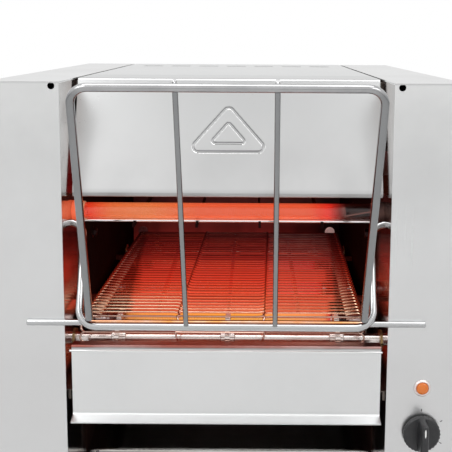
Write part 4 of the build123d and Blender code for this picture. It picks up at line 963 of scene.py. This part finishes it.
def z_bend(x, side):
    """Step from the outer bar to the middle bar, which lies one pitch further along."""
    return [
        (x + side * JOINT_REACH, 0, 0), (x - side * JOINT_CROSS, 0, -JOINT_RISE),
        (x + side * JOINT_CROSS, STRAND_PITCH, JOINT_RISE), (x - side * JOINT_REACH, STRAND_PITCH, 0),
    ]


def strand_line():
    left = list(reversed(edge_loop(-1))) + z_bend(JOINT_LEFT, -1)
    right = z_bend(JOINT_RIGHT, 1)[::-1] + edge_loop(1)
    points = left + right
    sharp = [0.0] * (LOOP_STEPS + 3)
    bends = sharp + JOINT_BENDS * 2 + sharp
    return rounded_path(points, bends, steps=3)


def conveyor_belt():
    line = strand_line()
    mesh = bmesh.new()
    for strand in range(STRANDS):
        start = BELT_START + strand * STRAND_PITCH
        path = []
        for point in line:
            depth, z = loop_place(start + point.y, point.z)
            drift = DRIFT * (2 * (depth - SHAFT_DEPTH) / SHAFT_SPAN - 1)
            path.append(at(point.x + drift, depth, z))
        sweep(mesh, path, BELT_WIRE / 2 * MM, BELT_SIDES)
    return piece("belt_strands", mesh, "body", "belt_wire", ["conveyor_belt"])


def tooth_radius(first_tooth):
    """Radius of a sprocket by angle, with one tooth at the given angle."""
    def radius(angle):
        turn = (angle - first_tooth) * SPROCKET_TEETH / (2 * math.pi)
        near = abs(turn % 1 - 0.5) * 2
        share = max(0.0, min(1.0, (near - TOOTH_FOOT) / TOOTH_FLANK))
        return SPROCKET_ROOT + (SPROCKET_TIP - SPROCKET_ROOT) * share * share * (3 - 2 * share)
    return radius


def sprocket_wheels(name, depth, body, replaced, first_tooth):
    half = SPROCKET_WIDTH / 2
    hub = HUB_WIDTH / 2
    bore = SHAFT_RADIUS + PLAY
    teeth = tooth_radius(math.radians(first_tooth))
    profile = both_ways([
        (bore, -hub), (HUB_RADIUS - 0.5, -hub), (HUB_RADIUS, -hub + 0.5), (HUB_RADIUS, -half), (teeth, -half)])
    profile.append(profile[0])
    places = [to_right(at(x, depth, SHAFT_Z)) for x in SPROCKET_X]
    return turned_piece(name, profile, places, body, "shaft_steel", [replaced], None, SPROCKET_TEETH * TOOTH_SIDES)


def shafts_and_sprockets():
    sprocket_wheels("front_sprocket_wheels", SHAFT_DEPTH, "front_shaft", "front_sprockets", FRONT_TOOTH)
    sprocket_wheels("rear_sprocket_wheels", SHAFT_DEPTH + SHAFT_SPAN, "drive_shaft", "rear_sprockets", REAR_TOOTH)
    ring_groove = SHAFT_RADIUS - 0.5
    end = [
        (0, 0), (SHAFT_RADIUS - 0.6, 0), (SHAFT_RADIUS, 0.6), (SHAFT_RADIUS, 1.0), (ring_groove, 1.0),
        (ring_groove, 1.8), (SHAFT_RADIUS, 1.8)]
    for name in ("front_shaft", "drive_shaft"):
        low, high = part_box(name)
        origin = Vector((low.x, (low.y + high.y) / 2, (low.z + high.z) / 2))
        turned_piece(name + "_bar", both_ways(end, (high.x - low.x) / MM), [to_right(origin)], name, "shaft_steel",
                     [name])


# =====================================================================
# rack
# =====================================================================
def wire_piece(name, paths, diameter, replaced, material=None):
    mesh = bmesh.new()
    for path in paths:
        sweep(mesh, path, diameter / 2 * MM, WIRE_SIDES)
    return piece(name, mesh, "rack", "rack_wire", [replaced], material)


def frame_and_hanger():
    corners = [
        at(FRAME_LOW_X[0], HANGER_DEPTH, FOOT_Z), at(FRAME_TOP_X[0], RACK_TOP_DEPTH, RACK_TOP_Z),
        at(FRAME_TOP_X[1], RACK_TOP_DEPTH, RACK_TOP_Z), at(FRAME_LOW_X[1], HANGER_DEPTH, FOOT_Z),
    ]
    path = rounded_path(corners, FRAME_BEND * MM, BEND_STEPS)
    wire_piece("rack_frame_wire", [path], FRAME_WIRE, "rack_frame")
    half = HANGER_WIDTH / 2
    corners = [
        at(-HOOK_TIP, PIVOT_DEPTH, PIVOT_Z), at(-HANGER_TOP_X, PIVOT_DEPTH, PIVOT_Z),
        at(-half, HANGER_DEPTH, HANGER_Z), at(half, HANGER_DEPTH, HANGER_Z),
        at(HANGER_TOP_X, PIVOT_DEPTH, PIVOT_Z), at(HOOK_TIP, PIVOT_DEPTH, PIVOT_Z),
    ]
    bends = [HOOK_BEND * MM, HANGER_BEND * MM, HANGER_BEND * MM, HOOK_BEND * MM]
    path = rounded_path(corners, bends, BEND_STEPS)
    wire_piece("rack_hanger_wire", [path], FRAME_WIRE, "rack_hanger", PAINTED_LIT_WIRE)


def inner_wires():
    """Two wires from the hanger's lower bar up over the top bar, each with a nosed free end."""
    low = at(0, HANGER_DEPTH, HANGER_Z)
    high = at(0, RACK_TOP_DEPTH, RACK_TOP_Z)
    run = (high - low).normalized()
    behind = Vector((0, run.z, -run.y))
    foot = low + run * (FRAME_WIRE / 2 + PLAY) * MM - behind * INNER_SET * MM
    top = high + behind * ((FRAME_WIRE + INNER_WIRE) / 2 + PLAY) * MM
    end = top + (top - foot).normalized() * INNER_OVER * MM
    nose = (end - foot).normalized() * INNER_NOSE * MM
    mesh = bmesh.new()
    for low_x, top_x in zip(INNER_LOW_X, INNER_TOP_X):
        low_shift = Vector((low_x * MM, 0, 0))
        tip = end + Vector((top_x * MM, 0, 0))
        rings = sweep(mesh, [foot + low_shift, tip - nose, tip], INNER_WIRE / 2 * MM, WIRE_SIDES)
        bmesh.ops.scale(mesh, vec=(0.8, 0.8, 0.8), verts=rings[-1], space=Matrix.Translation(-tip))
    piece("rack_inner_wire_pair", mesh, "rack", "rack_wire", ["rack_inner_wires"], INNER_WIRE_STEEL)


def stop_bar():
    radius = STOP_WIRE / 2
    profile = both_ways([(0, 0), (radius - 0.5, 0), (radius, 0.5)], STOP_LENGTH)
    place = to_right(at(-STOP_LENGTH / 2, STOP_DEPTH, STOP_Z))
    turned_piece("rack_stop_bar", profile, [place], "rack", "rack_wire", ["rack_stop_rod"], STOP_WIRE_STEEL,
                 BAR_SIDES)


# =====================================================================
# heaters
# =====================================================================
def open_tubes(name, depths, z, half_length, material, replaced):
    wall = TUBE_WALL
    outer = TUBE_RADIUS
    length = 2 * half_length
    profile = [
        (outer, 0), (outer, length), (outer - wall / 2, length + wall / 3), (outer - wall, length),
        (outer - wall, 0), (outer - wall / 2, -wall / 3), (outer, 0),
    ]
    places = [to_right(at(-half_length, depth, z)) for depth in depths]
    return turned_piece(name, profile, places, "body", "quartz", [replaced], material, TUBE_SIDES)


def coils(name, depths, z, half_length, stretch, material, replaced):
    """A helix over the lit stretch, with straight leads to both ends."""
    mesh = bmesh.new()
    turns = (stretch[1] - stretch[0]) / COIL_PITCH
    steps = int(turns * COIL_STEPS)
    for depth in depths:
        path = [at(-half_length, depth, z)]
        for step in range(steps + 1):
            angle = 2 * math.pi * step / COIL_STEPS
            x = stretch[0] + (stretch[1] - stretch[0]) * step / steps
            path.append(at(x, depth + COIL_RADIUS * math.cos(angle), z + COIL_RADIUS * math.sin(angle)))
        path.append(at(half_length, depth, z))
        sweep(mesh, path, COIL_WIRE / 2 * MM, COIL_SIDES)
    return piece(name, mesh, "body", "glowing_coil", [replaced], material)


def both_ends(depths, z, inner_x):
    """Places at both ends of each tube, pointing outwards from inner_x."""
    places = []
    for depth in depths:
        places.append(to_right(at(inner_x, depth, z)))
        places.append(to_left(at(-inner_x, depth, z)))
    return places


def ceramic_sleeves():
    """Stepped sleeves that stand on the chamber walls and hold the upper tubes."""
    bore = TUBE_RADIUS + PLAY
    profile = [
        (bore, 0), (7.2, 0), (7.6, 0.4), (7.6, 5.6), (7.8, 6.0), (8.2, 6.2), (8.2, 9.6), (7.9, SLEEVE_LENGTH),
        (bore, SLEEVE_LENGTH), (bore, 0),
    ]
    places = both_ends(UPPER_TUBES, UPPER_Z, WALL_X / MM - SLEEVE_LENGTH)
    return turned_piece("ceramic_sleeves", profile, places, "body", "ceramic", ["upper_ceramics"], None, TUBE_SIDES)


def lower_tube_ends():
    """Crimped steel caps of the lower tubes, and the spring clips beside their lit stretch."""
    bore = TUBE_RADIUS + PLAY
    profile = [
        (bore, 0), (7.4, 0), (7.7, 0.3), (7.7, 2.2), (7.2, 2.6), (7.2, 3.4), (7.7, 3.8), (CAP_RADIUS, 4.4),
        (CAP_RADIUS, CAP_LENGTH - 0.6), (CAP_RADIUS - 0.6, CAP_LENGTH), (0, CAP_LENGTH),
    ]
    places = both_ends(LOWER_TUBES, LOWER_Z, LOWER_HALF)
    turned_piece("crimped_tube_caps", profile, places, "body", "cap_steel", ["lower_tube_caps"], None, TUBE_SIDES)
    band = both_ways([(bore, 0), (7.4, 0), (7.7, 0.5)], CLIP_LENGTH)
    band.append(band[0])
    places = [to_right(at(LOWER_GLOW[1] + 1.5, depth, LOWER_Z)) for depth in LOWER_TUBES]
    turned_piece("tube_clips", band, places, "body", "cap_steel", sides=TUBE_SIDES)


def guard_bars():
    """Cross rods under the upper tubes, with a small collar at each wall."""
    length = 2 * WALL_X / MM
    profile = both_ways([(0, 0), (2.6, 0), (2.6, 1.0), (2.2, 1.4), (GUARD_RADIUS, 1.4)], length)
    places = [to_right(at(-length / 2, depth, GUARD_Z)) for depth in GUARD_DEPTHS]
    turned_piece("guard_bars", profile, places, "body", "inner_steel", ["guard_rods"], GUARD_STEEL, BAR_SIDES)


def heaters():
    upper_half = WALL_X / MM - SLEEVE_LENGTH
    open_tubes("upper_quartz_tubes", UPPER_TUBES, UPPER_Z, upper_half, FINISHES["quartz"], "upper_tubes")
    coils("upper_coil_turns", UPPER_TUBES, UPPER_Z, upper_half, UPPER_GLOW, FINISHES["glowing_coil"], "upper_coils")
    open_tubes("lower_quartz_tubes", LOWER_TUBES, LOWER_Z, LOWER_HALF, LOWER_QUARTZ, "lower_tubes")
    coils("lower_coil_turns", LOWER_TUBES, LOWER_Z, LOWER_HALF, LOWER_GLOW, LOWER_COIL, "lower_coils")
    ceramic_sleeves()
    lower_tube_ends()
    guard_bars()


# =====================================================================
# hood
# =====================================================================
def segment_distance(point, start, end):
    """Distance of a point from a straight stretch, all as (x, y)."""
    run = end - start
    share = max(0.0, min(1.0, (point - start).dot(run) / run.length_squared))
    return (point - start - run * share).length


def triangle_sides(share):
    """Sides of a rounded triangle, this share of the emblem's size, about its middle."""
    middle = Vector((0, EMBLEM_HEIGHT / 3, 0))
    half = EMBLEM_WIDTH / 2
    corners = [Vector((-half, 0, 0)), Vector((half, 0, 0)), Vector((0, EMBLEM_HEIGHT, 0))]
    left, right, top = [middle + (corner - middle) * share for corner in corners]
    foot = (left + right) / 2
    outline = rounded_path([foot, right, top, left, foot], EMBLEM_CORNER * share, 8)
    outline = [point.to_2d() for point in outline]
    return list(zip(outline, outline[1:]))


def emblem_strokes():
    """Plain pressed ornament: one rounded triangle inside another."""
    return triangle_sides(1.0) + triangle_sides(INNER_SHARE)


def stroke_distance(point, strokes):
    return min(segment_distance(point, start, end) for start, end in strokes)


def groove(point, strokes):
    """Depth of the pressed groove at a point of the hood's face."""
    share = stroke_distance(point, strokes) / (GROOVE_WIDTH / 2)
    return GROOVE_DEPTH * (0.5 + 0.5 * math.cos(math.pi * share)) if share < 1 else 0.0


def groove_wall(point, strokes):
    """Material of the hood at a point: 0 flat, 1 a groove wall in painted shade, 2 one with a painted highlight."""
    step = GROOVE_LIGHT * FINE_STEP / 2
    rise = groove(point + step, strokes) - groove(point - step, strokes)
    if abs(rise) < GROOVE_SLOPE:
        return 0
    return 2 if rise > 0 else 1


def hood_rows(outer, origin, lean):
    """Points along the hood's section, with fine steps over the ornament."""
    rows = []
    for point, after in zip(outer, outer[1:] + outer[-1:]):
        rows.append(point)
        gap = after - point
        if gap.length > LONG_FACE:
            first = max((origin - point).dot(lean) - EMBLEM_MARGIN, 1)
            for step in range(int((EMBLEM_HEIGHT + 2 * EMBLEM_MARGIN) / FINE_STEP) + 1):
                rows.append(point + lean * (first + step * FINE_STEP))
    return rows


def hood_columns():
    """Places across the hood, with fine steps over the ornament."""
    reach = EMBLEM_WIDTH / 2 + EMBLEM_MARGIN
    columns = [-HOOD_HALF, -HOOD_HALF + HOOD_EDGE]
    columns += [-reach + step * FINE_STEP for step in range(int(2 * reach / FINE_STEP) + 1)]
    return columns + [HOOD_HALF - HOOD_EDGE, HOOD_HALF]


def inner_side(outer):
    """The section's outer side moved in by the sheet's thickness."""
    inner = []
    for index, point in enumerate(outer):
        run = (outer[min(index + 1, len(outer) - 1)] - outer[max(index - 1, 0)]).normalized()
        inner.append(point + Vector((0, run.z, -run.y)) * HOOD_SHEET)
    return inner


def hood_panel():
    outer = rounded_path([Vector((0, d, z)) for d, z in HOOD_PROFILE], HOOD_BENDS, BEND_FINE)
    lean = (Vector((0, *HOOD_PROFILE[3])) - Vector((0, *HOOD_PROFILE[2]))).normalized()
    origin = Vector((0, *HOOD_PROFILE[2])) + lean * ((EMBLEM_LOW_Z - HOOD_PROFILE[2][1]) / lean.z)
    inward = Vector((0, lean.z, -lean.y))
    rows = hood_rows(outer, origin, lean)
    columns = hood_columns()
    strokes = emblem_strokes()
    mesh = bmesh.new()
    grid = []
    for x in columns:
        column = []
        for point in rows:
            place = Vector((x, point.y, point.z))
            offset = point - origin
            if abs(offset.dot(inward)) < ON_FACE:
                place += inward * groove(Vector((x, offset.dot(lean))), strokes)
            column.append(mesh.verts.new(at(*place)))
        for point in reversed(inner_side(outer)):
            column.append(mesh.verts.new(at(x, point.y, point.z)))
        grid.append(column)
    count = len(grid[0])
    for column, (left, right) in enumerate(zip(grid, grid[1:])):
        x = (columns[column] + columns[column + 1]) / 2
        for row in range(count):
            after = (row + 1) % count
            face = mesh.faces.new((left[row], left[after], right[after], right[row]))
            if row + 1 < len(rows):
                offset = (rows[row] + rows[row + 1]) / 2 - origin
                if abs(offset.dot(inward)) < ON_FACE:
                    face.material_index = groove_wall(Vector((x, offset.dot(lean))), strokes)
    mesh.faces.new(grid[0])
    mesh.faces.new(grid[-1])
    made = piece("hood_sheet", mesh, "body", "satin_stainless", ["hood_panel"], HOOD_STEEL)
    # The groove's walls get painted shade and a painted highlight by the way they face.
    made.data.materials.append(PAINTED_EDGE_SHADE)
    made.data.materials.append(PAINTED_HIGHLIGHT_WALL)
    return made


# =====================================================================
# feet, controls and the other small pieces
# =====================================================================
def rubber_feet():
    low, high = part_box("rubber_feet")
    radius = FOOT_RADIUS
    height = (high.z - low.z) / MM
    profile = [
        (0, height), (radius, height), (radius, height - 2), (radius * 0.93, height - 3),
        (radius * 0.84, 3), (radius * 0.8, 0.8), (radius * 0.74, 0), (radius * 0.35, 0),
        (radius * 0.33, 1), (radius * 0.3, 12), (0, 12),
    ]
    inset = radius * MM
    places = []
    for x in (low.x + inset, high.x - inset):
        for y in (low.y + inset, high.y - inset):
            places.append(Matrix.Translation((x, y, low.z)))
    return turned_piece("foot_pads", profile, places, "body", "foot_rubber", ["rubber_feet"], None, TUBE_SIDES)


def tray_hem():
    """Rolled bead just below the top fold of the crumb tray's front."""
    low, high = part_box("crumb_tray")
    half = high.x - HEM_INSET * MM
    z = high.z - HEM_DROP * MM
    mesh = bmesh.new()
    sweep(mesh, [Vector((-half, low.y, z)), Vector((half, low.y, z))], HEM_RADIUS * MM, HEM_SIDES)
    return piece("tray_hem", mesh, "crumb_tray", "satin_stainless")


def control_knobs():
    back = -KNOB_SPACE
    rim = fluted(KNOB_RADIUS, 0.5, 30)
    skirt = [
        (0, 0), (KNOB_RADIUS - 1.2, 0), (rim, 0.8), (rim, KNOB_SKIRT - 1.0), (KNOB_RADIUS - 1.4, KNOB_SKIRT),
        (0, KNOB_SKIRT),
    ]
    grip = [
        (0, KNOB_SKIRT - 0.1), (squarish(4.4, 14.0), KNOB_SKIRT - 0.1), (squarish(3.6, 13.6), KNOB_SKIRT + 1.0),
        (squarish(GRIP_HALF, GRIP_REACH), KNOB_SKIRT + 3.0), (squarish(3.1, GRIP_REACH), KNOB_LENGTH - 2.0),
        (squarish(2.8, 13.2), KNOB_LENGTH - 0.7), (squarish(2.1, 12.4), KNOB_LENGTH), (0, KNOB_LENGTH),
    ]
    spindle = [(0, -2.0), (3.0, -2.0), (3.0, 0.1), (0, 0.1)]
    line = both_ways([(0, 0), (squarish(0.6, 3.6), 0)], 0.12)
    for name, z in KNOBS.items():
        mesh = bmesh.new()
        place = to_front(at(CONTROL_X, back, z)) @ Matrix.Scale(MM, 4)
        lathe(mesh, skirt, place, KNOB_SIDES)
        lathe(mesh, grip, place, GRIP_SIDES)
        lathe(mesh, spindle, place, MARK_SIDES)
        piece(name + "_grip", mesh, name, "knob_plastic", [name])
        turned_piece(name + "_line", line, [to_front(at(CONTROL_X, back - KNOB_LENGTH, z + LINE_RISE))], name,
                     "knob_plastic", (), MARK_WHITE, MARK_SIDES)


def dial_marks():
    """Printed strokes round the knobs, longer to the fast end of the speed knob."""
    mesh = bmesh.new()
    for knob, count, arc, growth in DIALS:
        centre = to_front(at(CONTROL_X, 0, KNOBS[knob])) @ Matrix.Scale(MM, 4)
        for index in range(count):
            angle = math.radians(90 - arc * index / (count - 1))
            half = STROKE_HALF + growth * index / 2
            place = centre @ Matrix.Rotation(angle, 4, "Z") @ Matrix.Translation((DIAL_RADIUS + half, 0, 0))
            lathe(mesh, both_ways([(0, 0), (squarish(half, 0.35), 0)], 0.08), place, MARK_SIDES)
    piece("dial_marks", mesh, "body", "black_plastic", (), MARK_GREY)


def pilot_lamp():
    place = to_front(at(CONTROL_X, 0, LAMP_Z))
    lens = [
        (0, -17.2), (4.9, -17.2), (4.95, 0), (fluted(4.9, 0.12, 12), 1.2), (fluted(4.5, 0.15, 12), 2.1), (3.3, 2.7),
        (1.8, 2.95), (0, 3.0),
    ]
    turned_piece("lamp_dome", lens, [place], "body", "lamp_lens", ["pilot_lamp"])
    bezel = [(5.0, 0), (6.9, 0), (6.9, 0.5), (6.3, 1.3), (5.6, 1.6), (5.0, 1.3), (5.0, 0)]
    turned_piece("lamp_bezel", bezel, [place], "body", "screw_steel")


def cable_gland():
    profile = [
        (4.0, -5.2), (8.0, -5.2), (8.0, 0), (10.2, 0), (hexagon(19.0), 0.6), (hexagon(19.0), 5.2), (9.6, 6.0),
        (7.2, 6.0), (7.2, 6.6), (hexagon(15.6), 7.0), (hexagon(15.6), 13.5), (8.2, 14.5), (fluted(8.2, 0.5, 16), 15.5),
        (fluted(7.6, 0.5, 16), 19.0), (6.4, 20.6), (5.2, 21.2), (4.3, 21.2), (4.0, 20.8), (4.0, -5.2),
    ]
    return turned_piece("gland_body", profile, [to_back(at(GLAND_X, GLAND_DEPTH, GLAND_Z))], "body",
                        "black_plastic", ["cable_gland"], None, GLAND_SIDES)


def screw_profile(flats, height):
    """Flanged hexagon head with a chamfered top and a small dish."""
    half = flats / 2
    return [
        (0, 0), (half * 1.32, 0), (half * 1.32, height * 0.14), (half * 1.2, height * 0.24),
        (hexagon(flats), height * 0.26), (hexagon(flats), height * 0.72), (half * 0.88, height),
        (half * 0.5, height), (half * 0.4, height * 0.82), (0, height * 0.82),
    ]


def screw_heads():
    """Screws at the places of the CAD ones. Cover screws point outwards, the others into the chamber."""
    for name, outwards in (("cover_screws", 1), ("wall_screws", -1), ("deflector_screws", -1)):
        mesh = bmesh.new()
        for low, high in solids_of(name):
            size = high - low
            axis = min(range(3), key=lambda index: size[index])
            middle = (low + high) / 2
            direction = Vector((0, 0, 0))
            direction[axis] = outwards * (math.copysign(1, middle.x) if axis == 0 else 1)
            place = facing(direction, middle - direction * size[axis] / 2) @ Matrix.Scale(MM, 4)
            lathe(mesh, screw_profile(sorted(size)[1] / MM, size[axis] / MM), place)
        piece(name[:-1] + "_heads", mesh, "body", "screw_steel", [name], NODE_FINISHES.get(name))


# =====================================================================
# finishes of the carried-over nodes
# =====================================================================
def dress_nodes():
    """Gives every CAD node its finish and softens the raw edges of sheet and blocks."""
    for entry in frame["record"]["subparts"]:
        name = entry["node"]
        slot = entry["material_slot"]
        made = frame["nodes"][name]
        made.data.materials.clear()
        made.data.materials.append(NODE_FINISHES.get(name) or FINISHES[slot])
        side = name.endswith("side_cover")
        bevel = made.modifiers.new("soft_edges", "BEVEL")
        bevel.width = (SHEET_BEVEL if side or name == "crumb_tray" else BEVEL) * MM
        bevel.segments = 2
        bevel.limit_method = "ANGLE"
        bevel.angle_limit = math.radians(BEVEL_ANGLE)
        # The side covers' bevelled edges get a dark line of painted shade.
        if side:
            made.data.materials.append(PAINTED_EDGE_SHADE)
            bevel.material = 1


# =====================================================================
# studio
# =====================================================================
def studio_floor():
    mesh = bmesh.new()
    bmesh.ops.create_grid(mesh, x_segments=1, y_segments=1, size=FLOOR_HALF)
    data = bpy.data.meshes.new("studio_floor")
    mesh.to_mesh(data)
    mesh.free()
    data.materials.append(finish("floor_paint", FLOOR_GREY, 0.0, 0.8)[0])
    floor = bpy.data.objects.new("studio_floor", data)
    bpy.context.scene.collection.objects.link(floor)


def studio_world():
    """White to the camera and in reflections. Its light is soft, brighter in front than above and behind."""
    world = bpy.data.worlds.new("studio")
    world.use_nodes = True
    tree = world.node_tree
    tree.nodes.clear()
    output = node(tree, "ShaderNodeOutputWorld")
    way = node(tree, "ShaderNodeTexCoord")
    parts = node(tree, "ShaderNodeSeparateXYZ")
    join(tree, (way.outputs["Generated"], parts.inputs["Vector"]))
    ahead = maths(tree, "MULTIPLY", parts.outputs["Y"], -1.0, clamp=True)
    ahead = maths(tree, "POWER", ahead, 2.0)
    brighter = maths(tree, "MULTIPLY", ahead, SKY_AHEAD)
    level = maths(tree, "ADD", brighter, SKY_LEVEL)
    around = node(tree, "ShaderNodeBackground", in_Color=(1, 1, 1, 1))
    behind = node(tree, "ShaderNodeBackground", in_Color=(1, 1, 1, 1), in_Strength=1.0)
    join(tree, (level, around.inputs["Strength"]))
    path = node(tree, "ShaderNodeLightPath")
    shown = maths(tree, "ADD", path.outputs["Is Camera Ray"], path.outputs["Is Glossy Ray"], clamp=True)
    shown = maths(tree, "ADD", shown, path.outputs["Is Transmission Ray"], clamp=True)
    mix = node(tree, "ShaderNodeMixShader")
    join(tree, (shown, mix.inputs["Fac"]), (around.outputs[0], mix.inputs[1]),
         (behind.outputs[0], mix.inputs[2]), (mix.outputs[0], output.inputs["Surface"]))
    bpy.context.scene.world = world


def soft_box(name, place, size_x, size_y, level):
    """A rectangular soft light aimed at the opening. level is how bright its face is, 1 being white."""
    data = bpy.data.lights.new(name, "AREA")
    data.shape = "RECTANGLE"
    data.size = size_x
    data.size_y = size_y
    data.energy = level * math.pi * size_x * size_y
    made = bpy.data.objects.new(name, data)
    made.location = place
    aim = at(0, 0, AIM_Z) - Vector(place)
    made.rotation_euler = aim.to_track_quat("-Z", "Y").to_euler()
    made.visible_camera = False
    bpy.context.scene.collection.objects.link(made)


def studio_lights():
    soft_box("soft_box_above", (0.0, -0.35, 1.9), 1.6, 0.8, 3.0)
    soft_box("soft_box_left", (-1.0, -1.2, 1.35), 1.0, 0.7, 2.6)
    soft_box("soft_box_right", (1.0, -1.2, 1.35), 1.0, 0.7, 2.2)


def camera():
    data = bpy.data.cameras.new("camera")
    data.sensor_width = SENSOR
    data.lens = SENSOR * FOCAL_PIXELS / IMAGE_SIZE
    data.shift_x = SHIFT_X
    data.shift_y = SHIFT_Y
    made = bpy.data.objects.new("camera", data)
    made.location = EYE
    turn = Matrix.Rotation(math.radians(90 - PITCH), 4, "X") @ Matrix.Rotation(math.radians(ROLL), 4, "Z")
    made.rotation_euler = turn.to_euler()
    bpy.context.scene.collection.objects.link(made)
    bpy.context.scene.camera = made


def main():
    camera()
    studio_world()
    studio_floor()
    studio_lights()
    bpy.context.scene.view_settings.view_transform = "Standard"
    dress_nodes()
    conveyor_belt()
    shafts_and_sprockets()
    frame_and_hanger()
    inner_wires()
    stop_bar()
    heaters()
    hood_panel()
    rubber_feet()
    tray_hem()
    control_knobs()
    dial_marks()
    pilot_lamp()
    cable_gland()
    screw_heads()


main()
